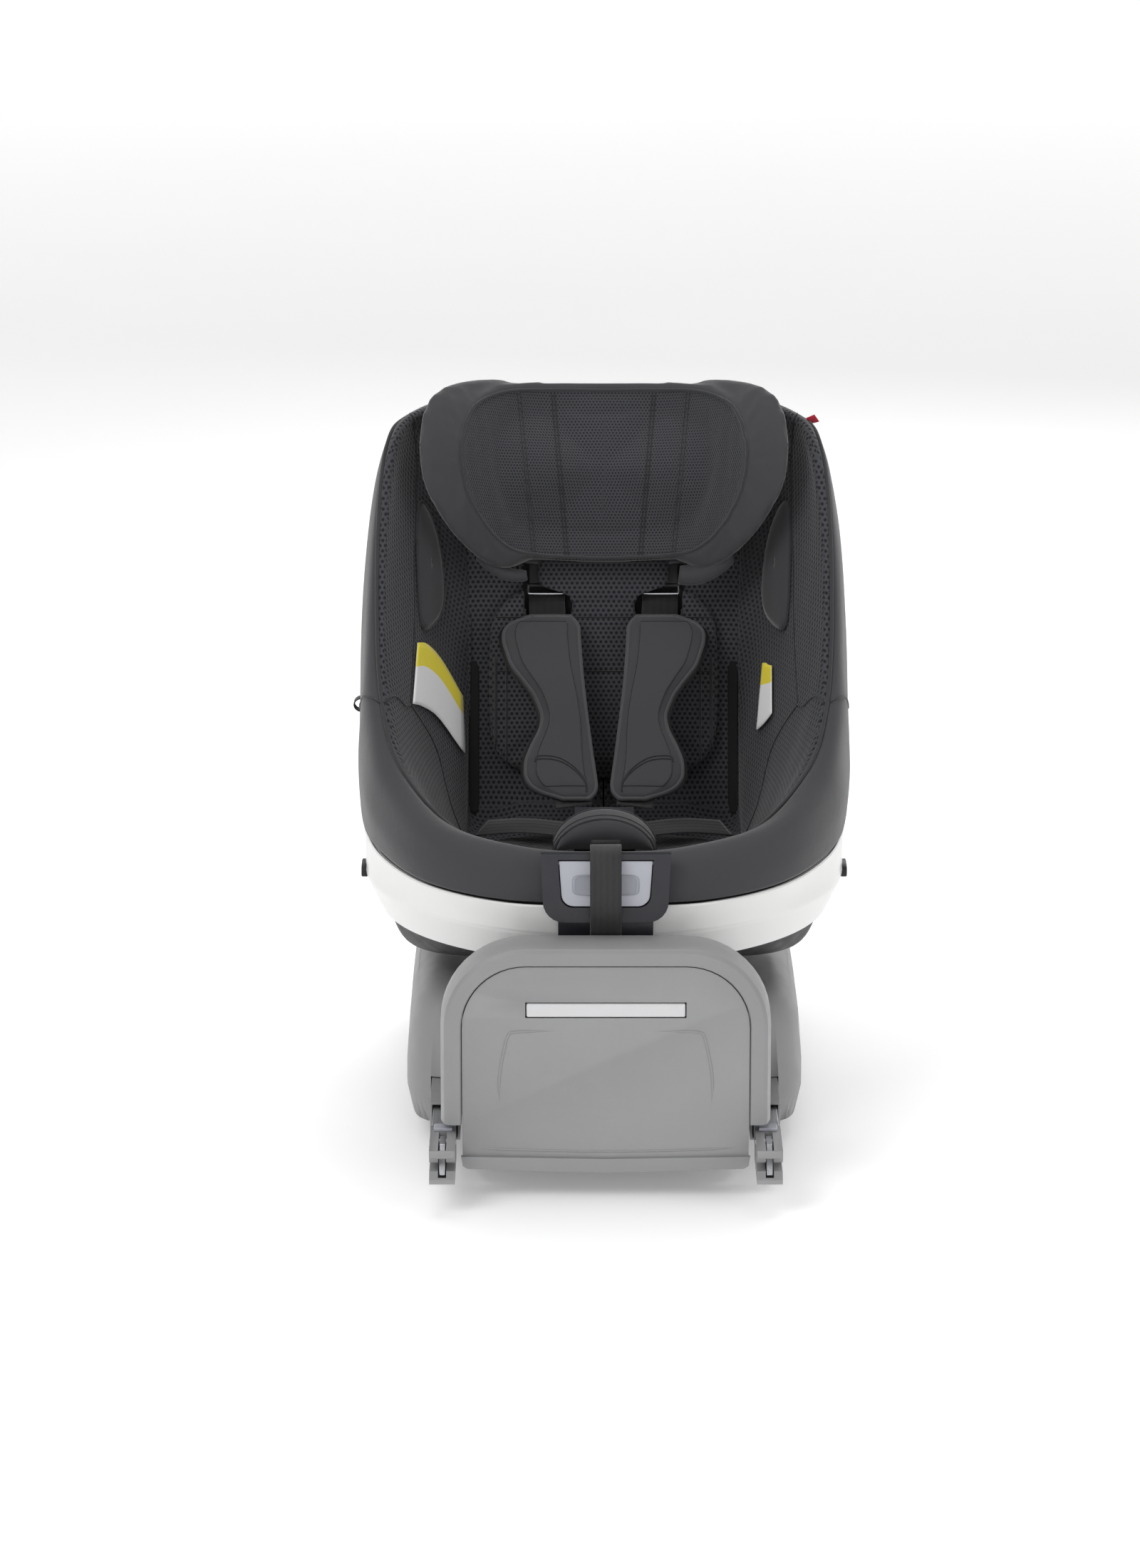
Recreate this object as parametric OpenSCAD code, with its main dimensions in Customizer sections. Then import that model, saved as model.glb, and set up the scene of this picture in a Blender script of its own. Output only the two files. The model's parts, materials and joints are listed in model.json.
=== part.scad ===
// Rotating convertible child car seat on a base with rigid anchor connectors and a folding support leg.
// Millimetres, +Z up. The child faces -Y at rest. The origin is on the turntable axis, at floor level.

/* [Seat shell] */
// Half width of the shell at its widest
shell_half_w = 220; // [210:1:230]
// Height of the white band's lower edge above the floor
band_low_z = 186; // [184:1:190]
// Height of the white band's crease
band_crease_z = 218; // [214:1:222]
// Thickness of every outer skin, hard or soft
skin_t = 4; // [3:0.5:4.5]
// Wall of the hard inner shell
hard_shell_t = 4; // [3:0.5:5]

/* [Motion] */
// Height of the recline arc's centre
recline_z = 430; // [425:1:435]
// Radius of the recline rails' running face
recline_r = 290; // [289:0.5:291]
// Tilt of the backrest and of the headrest's slide, from vertical
back_tilt = 20; // [18:0.5:22]

/* [Base] */
// Height of the base's flat top
base_top_z = 132; // [128:1:134]
// Half width of the base at its widest
base_half_w = 177; // [172:1:180]
// Plastic wall of the base shells
base_wall = 3; // [2.5:0.5:4]
// Radius of the turntable plate
turntable_r = 116; // [110:1:118]
// Radius of the central pivot
pivot_r = 28; // [24:1:30]

/* [Rebound panel] */
// Outer half width of the panel frame
panel_half_w = 142; // [140:1:146]
// Height of the frame's top
panel_top_z = 226; // [218:1:228]
// Where the frame's back face stands
panel_back_y = -246; // [-248:1:-246]
// Depth of the frame from back to front
panel_depth = 39; // [34:1:42]
// Width of the frame's band
panel_band = 18; // [14:1:20]

/* [Anchor connectors] */
// Distance between the two connectors' centre planes
anchor_pitch = 280; // [280:1:280]
// Width of a connector
connector_w = 22; // [21:1:24]
// Where the connector tips stand at rest
tip_y = -330; // [-332:1:-328]

/* [Support leg] */
// Half width of the leg channel under the base
channel_half_w = 40; // [38:1:44]
// Distance of the leg hinge from the turntable axis
leg_hinge_y = 282; // [276:1:288]
// Height of the leg hinge
leg_hinge_z = 22; // [21:1:24]

/* [Hidden] */

loop_steps = 3;   // points per control span along a loop
gap = 1;          // clearance between stacked layers
dark = [0.16, 0.16, 0.17];
fabric_dark = [0.21, 0.21, 0.23];
mesh_dark = [0.15, 0.15, 0.17];
base_grey = [0.58, 0.58, 0.58];
light_grey = [0.78, 0.78, 0.80];
band_white = [0.93, 0.93, 0.92];
steel = [0.62, 0.63, 0.65];
rubber_black = [0.08, 0.08, 0.08];

// ---------- curve and surface helpers ----------

function unit(v) = v / max(norm(v), 1e-9);
function flip_x(p) = [-p.x, p.y, p.z];
function reverse(list) = [for (i = [len(list) - 1:-1:0]) list[i]];
function mean(points) = [for (k = [0:2]) let (v = [for (p = points) p[k]]) v * [for (p = points) 1] / len(points)];
function catmull(a, b, c, d, t) =
    0.5 * (2 * b + (c - a) * t + (2 * a - 5 * b + 4 * c - d) * t * t + (3 * b - a - 3 * c + d) * t * t * t);

// A half outline, from front centre round the +X side to back centre, mirrored and smoothed into a closed loop
function closed_loop(half) =
    let (c = concat(half, [for (i = [len(half) - 2:-1:1]) flip_x(half[i])]), n = len(c))
    [for (i = [0:n - 1], j = [0:loop_steps - 1])
        catmull(c[(i + n - 1) % n], c[i], c[(i + 1) % n], c[(i + 2) % n], j / loop_steps)];

// Smooths a stack of loops in the other direction, with k rows per span
function smooth_rows(rows, k) = [
    for (i = [0:len(rows) - 2], s = [0:k - 1])
        let (a = rows[max(i - 1, 0)], b = rows[i], c = rows[i + 1], d = rows[min(i + 2, len(rows) - 1)])
        [for (j = [0:len(b) - 1]) catmull(a[j], b[j], c[j], d[j], s / k)],
    rows[len(rows) - 1]
];

// The grid moved inwards along its own normals by d
function inset(grid, d) = let (m = len(grid), n = len(grid[0])) [
    for (i = [0:m - 1]) [
        for (j = [0:n - 1])
            let (along = grid[i][(j + 1) % n] - grid[i][(j + n - 1) % n],
                 across = grid[min(i + 1, m - 1)][j] - grid[max(i - 1, 0)][j])
            grid[i][j] - d * unit(cross(along, across))
    ]
];

function strip_faces(rows, n, joined) = [
    for (i = [0:rows - 2], j = [0:n - (joined ? 1 : 2)])
        let (a = i * n + j, b = i * n + (j + 1) % n, c = b + n, d = a + n)
        each [[a, c, b], [a, d, c]]
];

// Closed solid through a stack of closed loops, with both ends closed by a fan
module skin(rows, first_centre = undef, last_centre = undef) {
    n = len(rows[0]);
    m = len(rows);
    points = concat([for (r = rows) each r],
                    [is_undef(first_centre) ? mean(rows[0]) : first_centre,
                     is_undef(last_centre) ? mean(rows[m - 1]) : last_centre]);
    polyhedron(points, concat(
        strip_faces(m, n, true),
        [for (j = [0:n - 1]) [m * n, j, (j + 1) % n]],
        [for (j = [0:n - 1]) [m * n + 1, (m - 1) * n + (j + 1) % n, (m - 1) * n + j]]
    ), convexity = 8);
}

// Closed wall between an outer grid and an inner grid of the same size: a ring, or a patch when it isn't joined,
// or a bowl when it has tips, which are the middles of its outer and its inner bottom
module wall(outer, inner, joined = true, tips = []) {
    m = len(outer);
    n = len(outer[0]);
    half = m * n;
    edge = joined ? n - 1 : n - 2;
    t = (m - 1) * n;
    points = concat([for (r = outer) each r], [for (r = inner) each r], tips);
    sides = joined ? [] : [for (i = [0:m - 2], f = [
        [i * n, i * n + half, (i + 1) * n + half], [i * n, (i + 1) * n + half, (i + 1) * n],
        [i * n + n - 1, (i + 1) * n + n - 1 + half, i * n + n - 1 + half],
        [i * n + n - 1, (i + 1) * n + n - 1, (i + 1) * n + n - 1 + half]]) f];
    low = [for (j = [0:edge]) let (k = (j + 1) % n) each len(tips) == 0
        ? [[j, k, k + half], [j, k + half, j + half]]
        : [[2 * half, j, k], [2 * half + 1, k + half, j + half]]];
    top = [for (j = [0:edge]) let (k = (j + 1) % n) each
        [[t + j, t + k + half, t + k], [t + j, t + j + half, t + k + half]]];
    faces = strip_faces(m, n, joined);
    back = [for (f = faces) [f[0] + half, f[2] + half, f[1] + half]];
    polyhedron(points, concat(faces, back, sides, low, top), convexity = 8);
}

// Superellipse loop with its own front and back depth
function signed_power(v, e) = sign(v) * pow(abs(v), e);
function oval(half_x, front, back, power, z, n = 44, front_power = 0) = [
    for (i = [0:n - 1]) let (a = 360 * i / n - 90, e = 2 / (sin(a) < 0 && front_power > 0 ? front_power : power),
                             s = signed_power(sin(a), e))
        [half_x * signed_power(cos(a), e), s * (s < 0 ? front : back), z]
];

// Flat webbing swept along points, w wide across X and t thick, with an optional sideways spread per point
module ribbon(path, w, t) {
    loops = [
        for (i = [0:len(path) - 1])
            let (d = unit(path[min(i + 1, len(path) - 1)] - path[max(i - 1, 0)]),
                 side = unit(cross(cross(d, [1, 0, 0]), d)), up = cross(side, d))
            [for (c = [[-1, -1], [1, -1], [1, 1], [-1, 1]])
                path[i] + side * c[0] * w / 2 + up * c[1] * t / 2]
    ];
    skin(reverse(loops));
}

function bezier(p, n) = [for (i = [0:n]) let (t = i / n, s = 1 - t)
    s * s * s * p[0] + 3 * s * s * t * p[1] + 3 * s * t * t * p[2] + t * t * t * p[3]];

module box(x, y, z) {
    translate([x[0], y[0], z[0]]) cube([x[1] - x[0], y[1] - y[0], z[1] - z[0]]);
}

module rod_x(r, x0, x1, y, z, fn = 48) {
    translate([x0, y, z]) rotate([0, 90, 0]) cylinder(r = r, h = x1 - x0, $fn = fn);
}

module both_sides() {
    children();
    mirror([1, 0, 0]) children();
}

// ---------- seat shell outlines: half loops from front centre to back centre ----------

function arc_sag(y, r) = r - sqrt(r * r - y * y);
bowl_r = recline_r - 6;
function sagged(half, z0, share) = [for (p = half) [p.x, p.y, z0 + share * arc_sag(p.y, bowl_r)]];
function plan_half(half_x, front, back) = [
    for (i = [0:10]) let (a = 18 * i - 90)
        [half_x * cos(a), sin(a) < 0 ? sin(a) * front : sin(a) * back, 0]
];
function at_z(half, z) = [for (p = half) [p.x, p.y, z]];

bowl_keel = sagged(plan_half(70, 46, 48), recline_z - bowl_r, 1);
bowl_foot = sagged(plan_half(138, 92, 95), recline_z - bowl_r, 1);
bowl_knee = sagged(plan_half(179, 150, 152), 154, 0.53);
bowl_top = at_z(plan_half(195, 198, 187), band_low_z);
band_low = at_z(plan_half(200, 203, 191), band_low_z);
band_crease = at_z(plan_half(215, 226, 209), band_crease_z);
band_top = [
    [0, -230, 247], [84, -222, 246], [155, -166, 246], [199, -88, 251], [216, -8, 258], [213, 52, 262],
    [202, 100, 266], [181, 144, 269], [143, 182, 271], [78, 209, 272], [0, 217, 272]
];
back_mid = [
    [0, -230.5, 249], [84.5, -222.5, 248], [156, -166, 248], [200, -87, 254], [217, -5, 262], [218, 72, 280],
    [215, 135, 325], [203, 186, 370], [165, 229, 402], [90, 256, 420], [0, 262, 426]
];
cover_edge = [
    [0, -231, 251], [85, -223, 250], [157, -166, 250], [201, -86, 257], [218, -2, 266], [219, 68, 303],
    [218, 118, 385], [212, 168, 474], [200, 211, 541], [140, 281, 572], [0, 301, 575]
];
cover_side = [
    [0, -233, 264], [80, -225, 265], [160, -164, 271], [206, -80, 290], [shell_half_w, -4, 313],
    [shell_half_w, 42, 350], [219, 98, 440], [211, 148, 522], [195, 192, 568], [142, 271, 588], [0, 294, 593]
];
cover_lip = [
    [0, -226, 282], [76, -218, 284], [154, -163, 293], [198, -88, 320], [212, -29, 359], [214, 18, 412],
    [211, 84, 506], [201, 136, 569], [182, 178, 591], [128, 249, 598], [0, 270, 602]
];
cover_crest = [
    [0, -212, 290], [72, -204, 292], [144, -155, 300], [184, -86, 330], [198, -35, 370], [201, 10, 424],
    [199, 76, 518], [189, 130, 578], [170, 172, 598], [115, 226, 601], [0, 247, 602]
];
cover_inner = [
    [0, -196, 279], [66, -187, 281], [131, -140, 289], [169, -76, 316], [184, -24, 355], [188, 24, 409],
    [187, 92, 499], [178, 146, 555], [158, 186, 581], [108, 226, 588], [0, 240, 590]
];
cover_foot = [
    [0, -172, 246], [60, -163, 245], [108, -125, 242], [128, -65, 239], [131, -5, 239], [131, 55, 254],
    [130, 118, 330], [129, 160, 440], [130, 195, 536], [95, 219, 575], [0, 229, 581]
];
// Where the inner walls meet the seat and the backrest, and the middle of both
floor_edge = [
    [0, -160, 234], [54, -151, 233], [98, -116, 231], [117, -62, 229], [120, -8, 227], [120, 48, 226],
    [120, 105, 262], [120, 155, 400], [119, 198, 518], [88, 218, 571], [0, 220, 577]
];
floor_middle = [
    [0, -100, 231], [34, -96, 231], [60, -74, 230], [72, -40, 228], [74, -5, 226], [74, 40, 224],
    [74, 105, 262], [74, 146, 375], [72, 181, 470], [50, 199, 520], [0, 203, 530]
];

// The whole outside and the cover's roll over the rim, as one grid, so that every layer is inset from the same surface
lower_grid = [for (h = [bowl_keel, bowl_foot, bowl_knee, bowl_top, band_crease, band_top, back_mid]) closed_loop(h)];
upper_grid = smooth_rows([for (h = [cover_edge, cover_side, cover_lip, cover_crest, cover_inner, cover_foot])
                          closed_loop(h)], 2);
grid = concat(lower_grid, upper_grid);
edge_row = len(lower_grid);   // the cover's lower edge
lip_row = edge_row + 4;       // the front of the rim
inner_row = edge_row + 8;     // the top of the inner wall
last_row = edge_row + 10;
function layer(d, from, to) = let (g = inset(grid, d)) [for (i = [from:to]) g[i]];

// ---------- base ----------

base_cy = 60;   // centre of the base's oval plan
leg_room = leg_hinge_z + 20;

// A flat slice of the base, hulled with the next one into a smooth body
module slice(points, y) translate([0, y, points[0].z]) linear_extrude(0.01) polygon([for (p = points) [p.x, p.y]]);
module stack(loops, y) for (i = [0:len(loops) - 2]) hull() {
    slice(loops[i], y);
    slice(loops[i + 1], y);
}

module base_plan(half_x, front, back, z0, z1, taper) {
    rows = [[half_x - taper, z0], [half_x, z0 + 22], [half_x, z0 + 40], [half_x - 3, z1 - 30], [half_x - 9, z1 - 12],
            [half_x - 17, z1 - 4], [half_x - 27, z1 - 0.01]];
    stack([for (r = rows) let (cut = half_x - r[0], lean = 26 * (r[1] - z0) / (z1 - z0))
        oval(r[0], front - cut - lean, back - cut, 4.5, r[1], 48, 10)], base_cy);
}

module neck_plan(half_x, y0, y1, z0, z1) {
    stack([for (r = [[0, z0], [0, z1 - 14], [4, z1 - 4], [12, z1]])
        oval(half_x - r[0], (y1 - y0) / 2, (y1 - y0) / 2, 7, r[1], 32)], (y0 + y1) / 2);
}

base_back = 270;
base_low_z = 20;
module base_upper_shell() color(base_grey) difference() {
    union() {
        base_plan(base_half_w, 208, base_back, base_low_z, base_top_z, 5);
        neck_plan(117, panel_back_y + gap / 2, -60, 26, 118);
    }
    base_plan(base_half_w - base_wall, 208 - base_wall, base_back - base_wall, base_low_z + base_wall,
              base_top_z - base_wall, 5);
    neck_plan(117 - base_wall, panel_back_y + 4, -50, 20, 118 - base_wall);
    // opening for the tray below, mouths for the connector guides, the leg channel and the turntable
    translate([0, 70, 0]) linear_extrude(60) polygon([for (p = oval(119, 197, 227, 4, 0, 40)) [p.x, p.y]]);
    both_sides() box([126, 154], [-170, -46], [0, 61]);
    box([-channel_half_w - 4, channel_half_w + 4], [240, 340], [0, leg_room + 4]);
    translate([0, 0, base_top_z - 20]) cylinder(r = turntable_r + 3, h = 40, $fn = 96);
}

function tray(half_x, front, back) = [for (p = oval(half_x, front, back, 4, 0, 40)) [p.x, p.y + 70]];
module base_lower_shell() color(dark) difference() {
    union() {
        difference() {
            translate([0, 0, 3]) linear_extrude(57) polygon(tray(118, 196, 226));
            translate([0, 0, 6.5]) linear_extrude(60) polygon(tray(114.5, 192.5, 222.5));
        }
        box([-channel_half_w - 3, channel_half_w + 3], [-119, 286], [3.5, leg_room + 3]);
        // column that carries the turntable
        translate([0, 0, leg_room]) cylinder(r = 44, h = base_top_z - 21 - leg_room, $fn = 72);
        both_sides() box([channel_half_w + 2, 113], [196, 200], [6, 50]);
        both_sides() box([channel_half_w + 2, 108], [-62, -58], [6, 40]);
    }
    box([-channel_half_w, channel_half_w], [-115, 340], [-2, leg_room]);
    // seat of the pivot post
    translate([0, 0, leg_room + 4]) cylinder(r = pivot_r - 6, h = 100, $fn = 72);
    // hinge pin holes
    rod_x(6.05, -60, 60, leg_pin_y, leg_hinge_z);
}

// ---------- turntable bearing ----------

module pivot_post() color(steel) difference() {
    union() {
        translate([0, 0, leg_room + 5]) cylinder(r = pivot_r - 6.1, h = base_top_z - 15 - leg_room - 5, $fn = 72);
        translate([0, 0, base_top_z - 20]) cylinder(r = pivot_r, h = 26, $fn = 72);
    }
    translate([0, 0, leg_room]) cylinder(r = 8, h = 200, $fn = 48);
}

race_r = 98;
ball_r = 4;
module bearing_race() color(steel) difference() {
    union() {
        translate([0, 0, base_top_z - 20]) cylinder(r = turntable_r + 2, h = 3, $fn = 96);
        translate([0, 0, base_top_z - 17]) difference() {
            cylinder(r = race_r + 10, h = 6, $fn = 96);
            translate([0, 0, -1]) cylinder(r = race_r - 10, h = 8, $fn = 96);
        }
    }
    translate([0, 0, base_top_z - 30]) cylinder(r = pivot_r + 1, h = 40, $fn = 72);
}

ball_count = 24;
ball_z = base_top_z - 11 + ball_r + 0.05;
module bearing_balls() color(steel)
    for (i = [0:ball_count - 1]) rotate([0, 0, 360 * i / ball_count])
        translate([race_r, 0, ball_z]) sphere(r = ball_r, $fn = 24);

module ball_cage() color(light_grey) difference() {
    translate([0, 0, ball_z - 2]) cylinder(r = race_r + 8, h = 4, $fn = 96);
    translate([0, 0, ball_z - 3]) cylinder(r = race_r - 8, h = 6, $fn = 96);
    for (i = [0:ball_count - 1]) rotate([0, 0, 360 * i / ball_count])
        translate([race_r, 0, ball_z - 5]) cylinder(r = ball_r + 0.3, h = 10, $fn = 24);
}

plate_z = ball_z + ball_r + 0.1;
module turntable_plate() color(dark) difference() {
    translate([0, 0, plate_z]) cylinder(r = turntable_r, h = base_top_z + 4 - plate_z, $fn = 96);
    translate([0, 0, plate_z - 1]) cylinder(r = pivot_r + 0.05, h = 30, $fn = 72);
}

cradle_front = -56;
cradle_back = 100;
module recline_cradle() color(dark) difference() {
    box([-78, 78], [cradle_front, cradle_back], [base_top_z + 4, 165]);
    rod_x(recline_r + 0.5, -90, 90, 0, recline_z, 180);
    translate([0, 0, base_top_z]) cylinder(r = pivot_r + 1, h = 40, $fn = 72);
}

rail_half_angle = 17;
module rail(x) {
    translate([x, 0, recline_z]) rotate([0, 90, 0]) rotate([0, 0, -rail_half_angle])
        rotate_extrude(angle = 2 * rail_half_angle, $fn = 180)
            translate([recline_r - 4.5, 0]) square([4.5, 14]);
}
module recline_rails() color(steel) {
    rail(26);
    rail(-40);
}

// ---------- rebound panel and connectors ----------

panel_front_y = panel_back_y - panel_depth;
corner_r = 73;
leg_low_z = 66;
function arch_path(half_w, top, r, low, steps) = concat(
    [[-half_w, low], [-half_w, low + 30]],
    [for (i = [0:steps]) let (a = 180 - 90 * i / steps) [-half_w + r + r * cos(a), top - r + r * sin(a)]],
    [[0, top]],
    [for (i = [0:steps]) let (a = 90 - 90 * i / steps) [half_w - r + r * cos(a), top - r + r * sin(a)]],
    [[half_w, low + 30], [half_w, low]]
);

module rebound_frame() color(base_grey) {
    path = arch_path(panel_half_w - panel_band / 2, panel_top_z - panel_band / 2, corner_r - panel_band / 2,
                     leg_low_z, 12);
    b = panel_band / 2;
    section = [[-b, panel_back_y], [b - 2, panel_back_y], [b, panel_back_y - 4], [b, panel_front_y + 16],
               [b - 3, panel_front_y + 3], [b - 6, panel_front_y], [-b + 1, panel_front_y],
               [-b, panel_front_y + 2]];
    skin([for (i = [0:len(path) - 1])
        let (d = unit(path[min(i + 1, len(path) - 1)] - path[max(i - 1, 0)]))
        [for (s = section) [path[i].x - d.y * s[0], s[1], path[i].y + d.x * s[0]]]]);
}

inner_half_w = panel_half_w - panel_band - 0.6;
function plate_outline(low, low_half) = concat(
    [[-low_half, low + 3], [-low_half + 3, low], [0, low - 3], [low_half - 3, low], [low_half, low + 3]],
    reverse(arch_path(inner_half_w, panel_top_z - panel_band - 0.6, corner_r - panel_band, leg_low_z, 12))
);
slot_z = 169;
slot_half_w = 69;

module panel_plate(y, t, low, low_half) {
    translate([0, y, 0]) rotate([90, 0, 0]) linear_extrude(t) polygon(plate_outline(low, low_half));
}

module rebound_panel() color(base_grey) difference() {
    union() {
        panel_plate(panel_front_y + 7, 5, 27, 123);
        // lip along the panel's foot
        translate([0, panel_front_y + 3, 0]) rotate([90, 0, 0]) linear_extrude(4)
            polygon([[-124.4, 38], [-123, 29.5], [-119, 27], [0, 23.5], [119, 27], [123, 29.5], [124.4, 38],
                     [0, 36]]);
    }
    box([-slot_half_w, slot_half_w], [panel_front_y - 5, panel_front_y + 10], [slot_z - 7, slot_z + 7]);
}

module rebound_back_plate() color(base_grey) difference() {
    panel_plate(panel_back_y - 0.5, 4, 34, 119);
    both_sides() translate([60, panel_back_y, 70]) rotate([90, 0, 0]) cylinder(r = 4, h = 20, $fn = 32);
}

module anchor_adjust_handle() color(light_grey) {
    box([-slot_half_w + 1, slot_half_w - 1], [panel_front_y + 1, panel_front_y + 23],
        [slot_z - 6, slot_z + 6]);
    box([-slot_half_w - 8, slot_half_w + 8], [panel_front_y + 23, panel_front_y + 27],
        [slot_z - 12, slot_z + 12]);
}

arm_x = anchor_pitch / 2;
connector_z = [28, 58];
connector_rear_y = tip_y + 68;
guide_y = [-205, -124];
module connector_guides() color(base_grey) both_sides() difference() {
    box([arm_x - 13, arm_x + 13], guide_y, [26, 60]);
    box([arm_x - 11, arm_x + 11], [guide_y[0] - 1, guide_y[1] + 1], [28, 58]);
}

arm_back_y = -70;
module anchor_arm() color(steel) difference() {
    box([arm_x - 10, arm_x + 10], [connector_rear_y, arm_back_y], [30, 56]);
    box([arm_x - 8, arm_x + 8], [connector_rear_y - 1, arm_back_y + 1], [32, 54]);
}
module anchor_arm_right() anchor_arm();
module anchor_arm_left() mirror([1, 0, 0]) anchor_arm();

module anchor_crossbar() color(steel) {
    box([-arm_x + 2, arm_x - 2], [arm_back_y - 10, arm_back_y], [74, 88]);
    both_sides() box([arm_x - 10, arm_x - 2], [arm_back_y - 10, arm_back_y], [56.05, 74]);
}

hook_y = tip_y + 40;
hook_z = 53;
module connector() color(base_grey) difference() {
    box([arm_x - connector_w / 2, arm_x + connector_w / 2], [tip_y, connector_rear_y], connector_z);
    // slot for the anchor bar, with a wider mouth
    box([arm_x - 20, arm_x + 20], [tip_y - 1, tip_y + 27], [38, 46]);
    translate([arm_x - 20, tip_y, 42]) rotate([45, 0, 0]) translate([0, -7, -7]) cube([40, 14, 14]);
    // pocket for the hook
    box([arm_x - 3.5, arm_x + 3.5], [tip_y + 1.5, tip_y + 53], [30, 66]);
    rod_x(2.52, arm_x - 20, arm_x + 20, hook_y, hook_z, 32);
}
module connector_right() connector();
module connector_left() mirror([1, 0, 0]) connector();

module latch_hook() color(steel) difference() {
    union() {
        translate([arm_x + 2.5, hook_y, hook_z]) rotate([0, -90, 0]) linear_extrude(5)
            polygon([[-4, -26], [-19, -33], [-20, -27], [-12, -21], [-6, -12], [-6, 4], [0, 7], [4, 4], [4, -18]]);
    }
    rod_x(2.56, arm_x - 20, arm_x + 20, hook_y, hook_z, 32);
}
module latch_hook_right() latch_hook();
module latch_hook_left() mirror([1, 0, 0]) latch_hook();

module latch_pins() color(steel) both_sides() rod_x(2.5, arm_x - 11.5, arm_x + 11.5, hook_y, hook_z, 32);

module connector_button() color(light_grey) {
    box([arm_x - 8, arm_x + 8], [connector_rear_y - 15, connector_rear_y - 2], [58.1, 61]);
}
module connector_button_right() connector_button();
module connector_button_left() mirror([1, 0, 0]) connector_button();

module rubber_feet() color(rubber_black) both_sides() {
    for (y = [-84, 232]) translate([78, y, 0]) cylinder(r = 20, h = 2.95, $fn = 48);
}

module base_screws() color(steel) both_sides() {
    for (p = [[62, -20], [62, 120], [96, 60]])
        translate([p[0], p[1], 0.6]) difference() {
            cylinder(r = 5, h = 2.35, $fn = 32);
            translate([0, 0, -1]) cylinder(r = 2, h = 2.2, $fn = 6);
        }
}

// ---------- support leg, folded into the channel ----------

leg_pin_y = leg_hinge_y - 8;
tube_end_y = 84;
module leg_hinge_pin() color(steel) rod_x(6, -channel_half_w - 3, channel_half_w + 3, leg_pin_y, leg_hinge_z);

module leg_upper_tube() color(base_grey) difference() {
    union() {
        rod_x(14, -27, 27, leg_pin_y, leg_hinge_z);
        box([-27, 27], [tube_end_y, leg_pin_y - 6], [leg_hinge_z - 14, leg_hinge_z + 14]);
    }
    box([-23, 23], [tube_end_y - 1, leg_pin_y - 22], [leg_hinge_z - 10, leg_hinge_z + 10]);
    rod_x(6.06, -40, 40, leg_pin_y, leg_hinge_z);
    translate([0, tube_end_y + 16, -1]) cylinder(r = 6.5, h = leg_hinge_z - 8, $fn = 48);
}

module leg_lower_tube() color(steel) difference() {
    box([-22, 22], [68, leg_pin_y - 26], [leg_hinge_z - 9, leg_hinge_z + 9]);
    box([-19.5, 19.5], [67, leg_pin_y - 25], [leg_hinge_z - 6.5, leg_hinge_z + 6.5]);
    for (i = [0:8]) translate([0, tube_end_y + 16 + 17 * i, 0]) cylinder(r = 4, h = leg_hinge_z - 5, $fn = 32);
}

module leg_foot() color(rubber_black) {
    box([-37, 37], [46, 56], [leg_hinge_z - 17, leg_hinge_z + 17]);
    box([-30, 30], [56, 67.95], [leg_hinge_z - 14, leg_hinge_z + 14]);
}

module leg_lock_button() color(light_grey) translate([0, tube_end_y + 16, leg_hinge_z - 17.5])
    cylinder(r = 6.3, h = 5.5, $fn = 48);

// ---------- seat body: hard parts ----------

module shell_bowl() color(dark)
    wall(layer(0, 0, 3), layer(skin_t, 0, 3), true,
         [[0, 0, recline_z - bowl_r], [0, 0, recline_z - bowl_r + skin_t]]);

module shell_band() color(band_white) difference() {
    rows = [for (h = [band_low, band_crease, band_top]) closed_loop(h)];
    wall(rows, inset(rows, skin_t));
    both_sides() box([200, 230], [-22, 12], [210, 224]);
}

// The smooth rear cover: the patch of the outside from one flank round the back to the other
flank = 16;   // first column of the patch
function between(a, b, t) = [for (j = [0:len(a) - 1]) a[j] + (b[j] - a[j]) * t];
function patch(g) = [for (r = [between(g[0], g[1], 0.08), g[1], between(g[1], g[2], 0.95)])
    [for (j = [flank:len(r) - flank]) r[j]]];
module back_cover() color(dark)
    wall(patch(layer(0, edge_row - 2, edge_row)), patch(layer(skin_t, edge_row - 2, edge_row)), false);

module seat_shell() color(dark) {
    low = recline_z - bowl_r + skin_t + gap;
    wall(layer(skin_t + gap, 0, lip_row - 1), layer(skin_t + gap + hard_shell_t, 0, lip_row - 1), true,
         [[0, 0, low], [0, 0, low + hard_shell_t]]);
}

module foam_liner() color([0.3, 0.3, 0.3]) {
    depth = skin_t + hard_shell_t + 2 * gap;
    skin(concat(layer(depth, 0, edge_row - 1), layer(skin_t + gap, inner_row, last_row),
                [closed_loop(floor_edge), closed_loop(floor_middle)]),
         [0, 0, recline_z - bowl_r + depth], [0, 92, 222]);
}

// Plate below the grip, in front of the white band
module front_skirt() color(dark) {
    skin([for (r = [[-219.5, -213, 196], [-234, -228, 218], [-237.5, -231.5, 234]])
        [[-41, r[0], r[2]], [41, r[0], r[2]], [41, r[1], r[2]], [-41, r[1], r[2]]]]);
}

// Notched rail that the headrest climbs
module headrest_rail() color(steel)
    translate(on_back(0, 221, 0.3)) rotate([90 - back_tilt, 0, 0]) linear_extrude(4.5) difference() {
        translate([-26, 0]) square([52, 150]);
        for (i = [0:6], x = [-14, 14]) translate([x, 14 + 20 * i]) circle(r = 4, $fn = 32);
    }

module rotation_button() color(dark)
    translate([212.6, -5, 217]) rotate([0, 90, 0]) linear_extrude(5.6) polygon([
        for (i = [0:31]) let (a = 360 * i / 32) [6 * signed_power(cos(a), 0.6), 16 * signed_power(sin(a), 0.6)]]);
module rotation_button_right() rotation_button();
module rotation_button_left() mirror([1, 0, 0]) rotation_button();

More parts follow.
